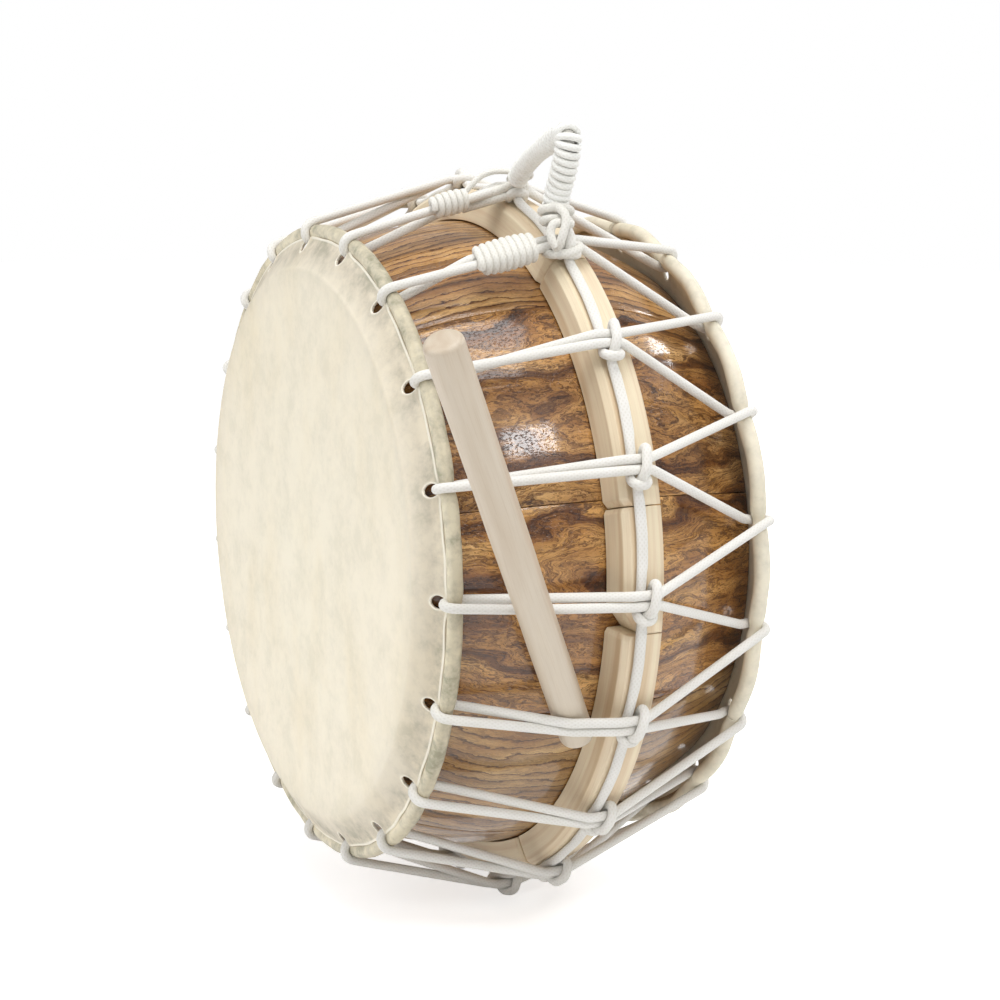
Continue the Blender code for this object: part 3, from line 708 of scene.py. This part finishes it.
def makeHead(name, rim, firstHole):
    rows = headProfile(rim)
    places = columns()
    steps = len(places)
    slope = hideSlope(rim)
    wall = hide["thickness"] - 0.0002
    outer, inner, zones, edges, creases = [], [], [], [], []
    lost = set()
    lipWaves = [waves(turn, random.Random(rim["seed"]), 12, 50, 7) * 0.00045 for turn, _ in places]
    rollWaves = [waves(turn, random.Random(rim["seed"] + 20), 8, 70, 9) * 0.00015 for turn, _ in places]
    for x, radius, out, zone, away, pale, crease in rows:
        for i, (turn, nearest) in enumerate(places):
            angle, side = firstHole + turn, nearest * hide["holeCircle"]
            pressed = exp(-(side / 0.0042) ** 2)
            push, light, slide = 0.0, pale, 0.0
            if zone > 0.64:
                roll = min(1, (zone - 0.64) / 0.09)
                push = roll * (rollWaves[i] - rim["press"] * pressed)
            elif zone > 0.3:
                drawn = 0.0012 * exp(-(side / 0.008) ** 2)  # the rope draws the lip outwards
                slide = (lipWaves[i] + drawn) * exp(-(max(0, away) / 0.0028) ** 2)
                # the pale lip edge, partly a painted highlight, fades where a rope presses
                if pale:
                    push = -0.0007 * pressed
                    light *= 1 - pressed
            hidden = Vector((x - wall * cos(out), radius - wall * sin(out)))
            px = x - slide * sin(slope) + push * cos(out)
            pr = radius + slide * cos(slope) + push * sin(out)
            if zone > 0.63:
                grown = min(1, (zone - 0.63) / 0.07) * bowed(rim, nearest)
                pr += grown
                hidden.y += grown
            if away < 0.02 and 0.4 < zone < 0.64 and abs(side) < 0.012:
                along, across = away - rim["hole"], side
                oval = hypot(along / (hide["holeLength"] / 2), across / (hide["holeWidth"] / 2))
                push = 0.0006 * exp(-((oval - 1.12) / 0.2) ** 2)
                px += push * cos(slope)
                pr += push * sin(slope)
                light = max(light, 0.95 * exp(-((oval - 1.04) / 0.18) ** 2))
                if oval < 1.0:  # moved out onto the hole's outline
                    lost.add(len(outer))
                    further = along * (1 / max(oval, 0.05) - 1)
                    step = Vector((further * sin(slope), -further * cos(slope)))
                    px, pr, hidden = px + step.x, pr + step.y, hidden + step
                    angle += across * (1 / max(oval, 0.05) - 1) / hide["holeCircle"]
            outer.append(drumPoint(rim["side"] * px, pr, angle))
            inner.append(drumPoint(rim["side"] * hidden.x, max(0, hidden.y), angle))
            zones.append(zone)
            edges.append(light)
            # the painted shadow line along the lip fades where a rope presses it
            creases.append(crease * (1 - pressed))
    shift = len(outer)
    faces = []

    def corner(row, column):
        return row * steps + column % steps

    def gone(row, column):
        return all(corner(row + i, column + j) in lost for i in (0, 1) for j in (0, 1))

    for row in range(len(rows) - 1):
        for i in range(steps):
            here = gone(row, i)
            if not here:
                cell = (corner(row, i), corner(row, i + 1), corner(row + 1, i + 1), corner(row + 1, i))
                faces += [cell, tuple(shift + k for k in reversed(cell))]
            if here != gone(row, i + 1):
                a, b = corner(row, i + 1), corner(row + 1, i + 1)
                faces.append((a, b, shift + b, shift + a))
            if row == len(rows) - 2 or here != gone(row + 1, i):
                a, b = corner(row + 1, i), corner(row + 1, i + 1)
                faces.append((a, b, shift + b, shift + a))
    piece = meshPiece(name, outer + inner, faces, rawHide[name],
                      zone=zones * 2, edge=edges * 2, crease=creases * 2)
    cleaned(piece)
    finished(piece, "drum", "hide", name)


makeHead("front_head", rims["front"], pairAngle(0))
makeHead("rear_head", rims["rear"], pairAngle(0.5))
makeHoop("front_hoop", rims["front"], pairAngle(0))
makeHoop("rear_hoop", rims["rear"], pairAngle(0.5))
print("hides made")


wedges = {
    "topRadius": 0.227, "frontX": -0.0032, "footX": -0.0055, "rearX": 0.0222,
    "starts": (1.05, 3.3, 4.3, 7.3, 9.6, 12.5, 14.8, 17.1), "endChamfer": 0.003,
    "longChamfer": 0.01, "frontEase": 0.0034,
}
wedgeTop = wedges["topRadius"]
stick = {
    "lowerEnd": Vector((-0.018, -0.1968, -0.0919)), "upperEnd": Vector((-0.1521, -0.301, 0.1517)),
    "lowerRadius": 0.0104, "upperRadius": 0.0108, "pair": 5,
}
whippings = {
    "near": (-0.0486, -0.0148, 8.5, 0.0023), "far": (-0.049, -0.027, 5.5, 0.0021), "turnPoints": 24,
}
knot = {"x": 0.0052, "cordHeight": 0.0031, "pairHeight": 0.0092}
lowPair = {"pair": 18, "share": 0.75}  # the pair behind the handle is drawn down


def tangentAngle(centre, radius, point, turnSide):
    away = Vector((point[0] - centre[0], point[1] - centre[1]))
    return atan2(away.y, away.x) + turnSide * acos(radius / away.length)


def arc(centre, radius, start, end, steps):
    return [onCircle(centre, radius, start + (end - start) * i / steps) for i in range(steps + 1)]


def ropeSection(rim, underFrom, overTo):
    # in the section: from under the rim, round the hole's edge and back over the roll
    roll = (rim["hoopX"], rim["ringRadius"])
    rollReach = rim["hemRadius"] + ropeRadius + lacing["slack"] - rim["press"]
    edge = Vector(fromLip(rim, -rim["edge"]))
    edgeReach = hide["thickness"] / 2 + ropeRadius + lacing["slack"]
    away = Vector((edge[0] - roll[0], edge[1] - roll[1]))
    facing = atan2(away.y, away.x)
    opening = acos(min(1, (rollReach - edgeReach) / away.length))
    rollStart = tangentAngle(roll, rollReach, underFrom, 1) - 2 * pi
    edgeStart = facing - opening
    points = []
    if rollStart < edgeStart:
        points += arc(roll, rollReach, rollStart, edgeStart, 5)
    else:
        edgeStart = tangentAngle(edge, edgeReach, underFrom, 1) - 2 * pi
    points += arc(edge, edgeReach, edgeStart, facing + opening, 12)
    points += arc(roll, rollReach, facing + opening, tangentAngle(roll, rollReach, overTo, -1), 8)
    leadIn = (Vector(underFrom) - Vector(points[0])).normalized() * 0.006
    return [tuple(Vector(points[0]) + leadIn)] + points


def roundHoop(rim, angle, underFrom, overTo):
    section = ropeSection(rim, underFrom, overTo)
    shift = 0.0012 / rim["ringRadius"]
    hole = Vector(fromLip(rim, 0.0015))
    lowest = min(range(len(section)), key=lambda i: (Vector(section[i]) - hole).length)
    points = []
    for i, (x, radius) in enumerate(section):
        span = lowest if i < lowest else len(section) - 1 - lowest
        sideways = ((i - lowest) / span) ** 2 * (1 if i > lowest else -1)
        points.append(drumPoint(rim["side"] * x, radius, angle + shift * sideways))
    return points


def strandPoint(pair, strand, x, radius, offset=lacing["strandOffset"]):
    return drumPoint(x, radius, pairAngle(pair) + strand * offset / radius)


def overStick(strand):
    # the sixth pair's strands rise over the stick
    angle = pairAngle(stick["pair"]) + strand * lacing["strandOffset"] / wedgeTop
    along = stick["upperEnd"] - stick["lowerEnd"]
    across = Vector((0, -cos(angle), -sin(angle)))
    point = stick["lowerEnd"] - along * (stick["lowerEnd"].dot(across) / along.dot(across))
    clear = stick["upperRadius"] + ropeRadius + 0.0006
    radius = hypot(point.y, point.z)
    return [drumPoint(point.x + clear * cos(lift), radius + clear * sin(lift), angle)
            for lift in (radians(118), radians(102), radians(87))]


def knotStrand(pair, strand):
    radius = wedgeTop + knot["pairHeight"] - (0.0024 if pair == lowPair["pair"] else 0)
    return [strandPoint(pair, strand, x, radius) for x in (-0.003, 0.0125)]


def frontDetour(pair, strand):
    if pair == stick["pair"]:
        return overStick(strand)
    if pair == stick["pair"] - 1 and strand == 1:
        return [strandPoint(pair, strand, -0.059, 0.2176)]
    if pair == 1:
        front, rear = whippings["near"][:2]
        return [strandPoint(pair, strand, front - 0.004, 0.222),
                strandPoint(pair, strand, rear, 0.2332)]
    if pair == 0 and strand == -1:
        return [strandPoint(pair, strand, -0.029, 0.2222, 0.008)]
    return []


def inSection(point):
    return abs(point.x - drumMiddle), hypot(point.y, point.z)


def lacingPoints():
    points = []
    for pair in range(pairCount):
        upper = frontDetour(pair, -1) + knotStrand(pair, -1)
        lower = frontDetour(pair, 1) + knotStrand(pair, 1)
        nextUpper = knotStrand(pair + 1, -1)
        points += reversed(upper)
        points += roundHoop(rims["front"], pairAngle(pair), inSection(upper[0]), inSection(lower[0]))
        points += lower
        points += roundHoop(rims["rear"], pairAngle(pair + 0.5), inSection(lower[-1]),
                            inSection(nextUpper[-1]))
    return points


piece = ropePiece("lacingRope", ropePath(lacingPoints(), True), True, ropeRadius, cottonRope)
finished(piece, "drum", "rope", "lacing_rope")
print("lacing rope made")


# the cord's hitch round a pair: along the axis, down the rim, out from the wedges
hitch = (
    (-0.0004, -0.011, 0.003), (-0.001, -0.002, 0.003), (-0.0028, 0.0044, 0.0034),
    (-0.005, 0.0074, 0.0054), (-0.005, 0.0102, 0.0082), (-0.0022, 0.0122, 0.01),
    (0.0022, 0.0122, 0.01), (0.005, 0.0102, 0.008), (0.0058, 0.007, 0.0046),
    (0.0058, 0.0016, 0.0032), (0.0064, -0.0056, 0.0036), (0.0062, -0.009, 0.0064),
    (0.005, -0.0094, 0.0104), (0.0036, -0.0078, 0.014), (0.0026, -0.0036, 0.0152),
    (0.0014, 0.0036, 0.0152), (0.0006, 0.007, 0.0128), (0.0002, 0.0086, 0.0084),
    (0.0, 0.011, 0.0044), (0.0, 0.016, 0.0031),
)
# the cord is squeezed where it makes the collar under a pair
squeezed = {3: 0.88, 4: 0.76, 5: 0.76, 6: 0.76, 7: 0.76, 8: 0.88}


def girthPoints():
    points = []
    for pair in range(pairCount):
        for along, down, out in hitch:
            radius = wedgeTop + out * (lowPair["share"] if pair == lowPair["pair"] else 1)
            points.append(drumPoint(knot["x"] + along, radius, pairAngle(pair) + down / radius))
        middle = pairAngle(pair + 0.5) + 0.002 / wedgeTop
        points.append(drumPoint(knot["x"], wedgeTop + knot["cordHeight"], middle))
    return points


def cordScales(path, points):
    # thinner near the collar points of every hitch
    collars = [(points[pair * (len(hitch) + 1) + i], factor)
               for pair in range(pairCount) for i, factor in squeezed.items()]
    scales = []
    for place in path:
        near = [1 - (1 - factor) * exp(-((Vector(place) - spot).length / 0.004) ** 2)
                for spot, factor in collars if (Vector(place) - spot).length < 0.012]
        scales.append(min(near, default=1.0))
    return scales


def flattenCord(piece):
    # between the hitches the hollow braid lies flat and wide on the wedges
    for vert in piece.data.vertices:
        turned = (atan2(-vert.co.y, vert.co.z) / pairPitch - radians(lacing["firstAngle"]) / pairPitch) % 1
        share = max(0, min(1, (min(turned, 1 - turned) - 0.15) / 0.13))
        share *= share * (3 - 2 * share)
        radius = hypot(vert.co.y, vert.co.z)
        lower = wedgeTop + (radius - wedgeTop) * (1 - 0.22 * share)
        middle = drumMiddle + knot["x"] + 0.0012 * share
        vert.co.x = middle + (vert.co.x - drumMiddle - knot["x"]) * (1 + 0.24 * share)
        vert.co.y *= lower / radius
        vert.co.z *= lower / radius


girth = girthPoints()
girthPath = ropePath(girth, True, 4)
piece = ropePiece("girthCord", girthPath, True, ropeRadius, cottonRope,
                  scales=cordScales(girthPath, girth))
flattenCord(piece)
finished(piece, "drum", "rope", "girth_cord")
print("girth cord made")


def wedgeSection(angle, shift):
    foot = 0.0008
    front = wedges["frontX"] + shift
    ease = wedges["frontEase"]
    rear = wedges["rearX"]
    corners = [
        (wedges["footX"] + shift, shellRadius(0) + foot), (front, wedgeTop - ease),
        (front + ease, wedgeTop), (rear - 0.001, wedgeTop), (rear, wedgeTop - 0.001),
        (rear, shellRadius(rear) + foot)]
    return [(drumPoint(x, radius, angle), (angle * wedgeTop, x, radius)) for x, radius in corners]


def makeWedge(number):
    starts = wedges["starts"] + (wedges["starts"][0] + pairCount,)
    chamfer = wedges["longChamfer"] if number == 1 else wedges["endChamfer"]
    start = pairAngle(starts[number]) + 0.0003 / wedgeTop
    end = pairAngle(starts[number + 1]) - 0.0003 / wedgeTop
    first = start + wedges["endChamfer"] / wedgeTop
    last = end - 1.5 * chamfer / wedgeTop
    steps = max(6, round((last - first) / radians(1)))
    sections = [wedgeSection(start, wedges["endChamfer"] / 2)]
    sections += [wedgeSection(first + (last - first) * i / steps, 0) for i in range(steps + 1)]
    sections.append(wedgeSection(end, chamfer))
    points, grain = zip(*[corner for section in sections for corner in section])
    count = len(sections[0])
    faces = [tuple(range(count)), tuple(reversed(range(len(points) - count, len(points))))]
    for i in range(len(sections) - 1):
        for j in range(count):
            k = (j + 1) % count
            faces.append((i * count + j, i * count + k, (i + 1) * count + k, (i + 1) * count + j))
    piece = meshPiece(f"wedgeBlock{number + 1}", points, faces, wedgeWood, False, grain=grain)
    cleaned(piece)
    easeEdges(piece, 0.0005, 25)
    finished(piece, "drum", "wedge_wood", f"wedge_block_{number + 1}")


for number in range(len(wedges["starts"])):
    makeWedge(number)
print("wedges made")


handle = {
    "angle": pairAngle(0.5), "x": 0.001, "baseRadius": 0.24, "coreRadius": 0.0035,
    "windRadius": 0.0056, "wrapRadius": 0.0022, "pitch": 0.0041, "step": 0.0003,
    "arch": ((-0.0275, 0.001), (-0.024, 0.009), (-0.019, 0.0178), (-0.0095, 0.029),
             (0.0005, 0.0385), (0.011, 0.0485), (0.0185, 0.0558), (0.0248, 0.0562),
             (0.027, 0.048), (0.0274, 0.0395), (0.0275, 0.031), (0.0262, 0.0222),
             (0.0262, 0.0148), (0.0272, 0.0085)),
}


def handleCentres():
    along = np.array((0, -cos(handle["angle"]), -sin(handle["angle"])))
    out = np.array((0, -sin(handle["angle"]), cos(handle["angle"])))
    base = np.array((drumMiddle + handle["x"], 0, 0))
    corners = [base + along * u + out * (handle["baseRadius"] + v) for u, v in handle["arch"]]
    return softened(evenly(corners, handle["step"], False), False, 280)


def makeHandle():
    centres = handleCentres()
    share = np.clip((np.arange(len(centres)) / len(centres) - 0.3) / 0.3, 0, 1)
    thick = 0.8 + 0.29 * share * share * (3 - 2 * share)  # the far leg is the thinner one
    core = ropePiece("handleCore", centres[::6], False, handle["coreRadius"], cottonRope, 10, thick[::6])
    finished(core, "handle", "rope", "handle_core")
    axis = np.array((1.0, 0, 0))
    points, scales, turned = [], [], 0.0
    for i in range(8, len(centres) - 8):
        forward = centres[i + 4] - centres[i - 4]
        side = np.cross(forward / np.linalg.norm(forward), axis)
        turned += 2 * pi * handle["step"] / (handle["pitch"] * thick[i])
        reach = handle["windRadius"] * thick[i]
        points.append(centres[i] + reach * (side * cos(turned) + axis * sin(turned)))
        scales.append(thick[i])
    wrap = ropePiece("handleWrap", points, False, handle["wrapRadius"], handleCotton, 12, scales)
    finished(wrap, "handle", "rope", "handle_wrap")


makeHandle()
# the cords that tie the handle's feet down, as millimetres from the drum's middle
footCords = (
    ("nearFootRing", 0.0025, True,
     ((-4.0, -140.6, 215.7), (0.7, -141.5, 215.4), (5.4, -139.8, 214.5), (8.9, -136.1, 213.3),
      (10.1, -131.3, 212.1), (8.7, -126.6, 211.2), (5.2, -123.4, 210.9), (0.4, -122.5, 211.2),
      (-4.3, -124.1, 212.1), (-7.7, -127.9, 213.3), (-8.9, -132.8, 214.5), (-7.5, -137.4, 215.4))),
    ("nearFootNeck", 0.0024, True,
     ((-4.2, -141.0, 209.3), (0.1, -141.8, 209.0), (4.5, -140.1, 208.3), (7.7, -136.5, 207.4),
      (8.9, -131.9, 206.5), (7.8, -127.5, 205.8), (4.6, -124.6, 205.5), (0.2, -123.8, 205.8),
      (-4.1, -125.5, 206.5), (-7.3, -129.1, 207.4), (-8.5, -133.7, 208.3), (-7.3, -138.1, 209.0))),
    ("nearFootLoop", 0.0026, False,
     ((-4.2, -135.9, 216.3), (-2.4, -142.6, 215.1), (-0.9, -147.4, 211.6), (-1.7, -149.0, 205.8),
      (-3.8, -149.1, 199.4), (-4.7, -147.3, 194.1), (-4.7, -142.2, 191.1))),
    ("nearFootCross", 0.0026, False,
     ((5.7, -142.6, 205.7), (-1.9, -144.3, 206.9), (-7.6, -143.8, 206.4), (-9.1, -142.7, 201.7),
      (-8.9, -144.9, 195.9), (-6.5, -145.6, 192.3))),
    ("nearFootCollar", 0.0026, True,
     ((-2.0, -144.7, 187.9), (3.7, -145.6, 188.9), (9.6, -143.3, 190.4), (13.9, -138.4, 192.1),
      (15.6, -132.2, 193.4), (14.1, -126.4, 194.0), (9.8, -122.5, 193.8), (4.0, -121.6, 192.7),
      (-1.9, -124.0, 191.1), (-6.1, -128.9, 189.5), (-7.7, -135.1, 188.2), (-6.2, -140.9, 187.6))),
    ("farFootRing", 0.0021, True,
     ((6.6, -72.6, 235.8), (10.3, -73.0, 236.3), (14.0, -71.1, 236.1), (16.9, -67.6, 235.5),
      (18.1, -63.3, 234.4), (17.2, -59.3, 233.2), (14.6, -56.8, 232.3), (10.9, -56.4, 231.9),
      (7.1, -58.3, 232.0), (4.3, -61.8, 232.7), (3.2, -66.2, 233.8), (4.0, -70.1, 234.9))),
    ("farFootTie", 0.0019, False,
     ((-24.6, -53.8, 222.3), (-18.9, -56.5, 229.7), (-12.9, -58.5, 235.3), (-6.5, -62.4, 237.7),
      (0.5, -68.1, 237.7), (6.6, -72.7, 235.2))),
    ("farFootLoop", 0.0027, False,
     ((-25.1, -53.4, 216.7), (-19.6, -57.9, 219.2), (-12.4, -63.2, 222.3), (-5.2, -68.4, 226.0),
      (2.4, -72.6, 230.3), (8.5, -74.3, 231.5), (9.8, -74.5, 227.2), (5.1, -72.8, 223.5),
      (-4.0, -68.6, 221.7), (-13.4, -62.3, 218.0), (-24.2, -53.1, 214.2))),
)
for name, radius, closed, places in footCords:
    points = [(drumMiddle + x / 1000, y / 1000, z / 1000) for x, y, z in places]
    piece = ropePiece(name, ropePath(points, closed, 10), closed, radius, cottonCord)
    finished(piece, "drum", "rope")
print("handle made")


def whippingPoints(start, end, width, windRadius, turns):
    forward = (end - start).normalized()
    out = Vector((0, start.y, start.z)).normalized()
    across = forward.cross(out).normalized()
    out = across.cross(forward)
    count = round(turns * whippings["turnPoints"])
    points = []
    for i in range(count + 1):
        angle = 2 * pi * i / whippings["turnPoints"]
        shift = width / 2 * max(-1, min(1, 1.6 * cos(angle)))
        reach = windRadius * (0.78 + 0.3 * sin(pi * i / count) ** 0.6)
        point = start.lerp(end, i / count) + across * (shift + reach * cos(angle))
        points.append(point + out * reach * sin(angle))
    return points


def makeWhippings():
    front, rear, turns, radius = whippings["near"]
    start, end = [drumPoint(x, r, pairAngle(1)) for x, r in ((front, 0.2229), (rear, 0.2332))]
    near = whippingPoints(start, end, 2 * lacing["strandOffset"],
                          ropeRadius + 0.0004 + radius, turns)
    piece = ropePiece("nearWhipping", near, False, radius, cottonCord)
    finished(piece, "drum", "rope", "near_whipping")
    front, rear, turns, radius = whippings["far"]
    slope = (wedgeTop + knot["pairHeight"] - 0.2095) / 0.1
    start, end = [strandPoint(0, 1, x, 0.2095 + slope * (x + 0.103)) for x in (front, rear)]
    far = whippingPoints(start, end, 0, ropeRadius + 0.0004 + radius, turns)
    piece = ropePiece("farWhipping", far, False, radius, cottonCord)
    finished(piece, "drum", "rope", "far_whipping")


makeWhippings()
print("whippings made")


def makeStick():
    offset = Vector((drumMiddle, 0, 0))
    lower, upper = stick["lowerEnd"] + offset, stick["upperEnd"] + offset
    along = (upper - lower).normalized()
    side = along.orthogonal().normalized()
    other = along.cross(side)
    length = (upper - lower).length
    rounding = 0.0032
    rows = [(0, 0.0)]
    rows += [(rounding * (1 - cos(a)), stick["lowerRadius"] - rounding * (1 - sin(a)))
             for a in np.linspace(0, pi / 2, 6)]
    for share in np.linspace(0.03, 0.97, 40):
        radius = stick["lowerRadius"] + (stick["upperRadius"] - stick["lowerRadius"]) * share
        rows.append((length * share, radius))
    rows += [(length - rounding * (1 - sin(a)), stick["upperRadius"] - rounding * (1 - cos(a)))
             for a in np.linspace(0, pi / 2, 6)]
    rows.append((length, 0.0))
    points, faces, grain = [], [], []
    sides = 48
    for distance, radius in rows:
        for i in range(sides):
            angle = 2 * pi * i / sides
            wobble = 1 + 0.006 * sin(distance * 60 + 2 * angle) + 0.004 * sin(distance * 130 - angle)
            y, z = radius * wobble * cos(angle), radius * wobble * sin(angle)
            points.append(lower + along * distance + side * y + other * z)
            grain.append((distance, y + 0.031, z + 0.017))
    for row in range(len(rows) - 1):
        for i in range(sides):
            j = (i + 1) % sides
            faces.append((row * sides + i, row * sides + j, (row + 1) * sides + j, (row + 1) * sides + i))
    piece = meshPiece("drumStick", points, faces, stickWood, grain=grain)
    cleaned(piece)
    finished(piece, "stick", "stick_wood", "drum_stick")


makeStick()
print("stick made")


def setStage():
    floorHeight = min(corner[2] for corner in cadBox)
    floor = meshPiece("floor", [(-8, -8, floorHeight), (8, -8, floorHeight), (8, 14, floorHeight),
                                (-8, 14, floorHeight)], [(0, 1, 2, 3)], makeFloorMaterial())
    world = bpy.data.worlds.new("studio")
    scene.world = world
    world.use_nodes = True
    tree = world.node_tree
    background = tree.nodes["Background"]
    background.inputs["Color"].default_value = (1, 1, 1, 1)
    rays = add(tree, "ShaderNodeLightPath")
    seen = calc(tree, "MAXIMUM", rays.outputs["Is Camera Ray"], rays.outputs["Is Transmission Ray"])
    plug(tree, background.inputs["Strength"], spread(tree, seen, 0, 1, 0.46, 1.0))
    addLamp("keySoftbox", (0.03, -1.73, 1.35), (-0.158, -0.19, 0.088), (0.6, 0.34), 11.5)
    addLamp("sideSoftbox", (1.52, 0.1, 1.02), (-0.03, -0.15, 0.12), (0.3, 0.6), 8)
    addLamp("headSoftbox", (-2.4, 0.3, 1.1), (-0.2, 0, 0), (1.6, 1.6), 18)
    addLamp("topSoftbox", (-0.3, -0.5, 2.2), (-0.1, 0, 0.1), (1.4, 1.4), 30)


def makeFloorMaterial():
    material, tree, shader = newMaterial("paleFloor", {
        "Base Color": (0.9, 0.9, 0.9, 1), "Roughness": 0.9})
    rays = add(tree, "ShaderNodeLightPath")
    seen = calc(tree, "MAXIMUM", rays.outputs["Is Camera Ray"], rays.outputs["Is Glossy Ray"])
    seen = calc(tree, "MAXIMUM", seen, rays.outputs["Is Transmission Ray"])
    glow = add(tree, "ShaderNodeEmission", {"Strength": times(tree, seen, 0.62)})
    total = add(tree, "ShaderNodeAddShader", {0: shader.outputs[0], 1: glow.outputs[0]})
    plug(tree, tree.nodes["Material Output"].inputs["Surface"], total.outputs[0])
    return material


def addLamp(name, place, target, size, power):
    lamp = bpy.data.lights.new(name, "AREA")
    lamp.shape = "RECTANGLE"
    lamp.size, lamp.size_y = size
    lamp.energy = power
    item = placed(name, lamp)
    item.location = place
    item.rotation_euler = (Vector(target) - Vector(place)).to_track_quat("-Z", "Y").to_euler()


def setCamera():
    look = {"place": (-0.6731, -1.1862, 0.2195), "rise": 8.615, "turn": -26.329, "lens": 71.167}
    camera = placed("photoCamera", bpy.data.cameras.new("photoCamera"))
    camera.data.lens = look["lens"]
    camera.data.sensor_width = 36
    camera.location = look["place"]
    camera.rotation_euler = (radians(90 - look["rise"]), 0, radians(look["turn"]))
    scene.camera = camera


setStage()
setCamera()
print("floor, lamps and camera set")
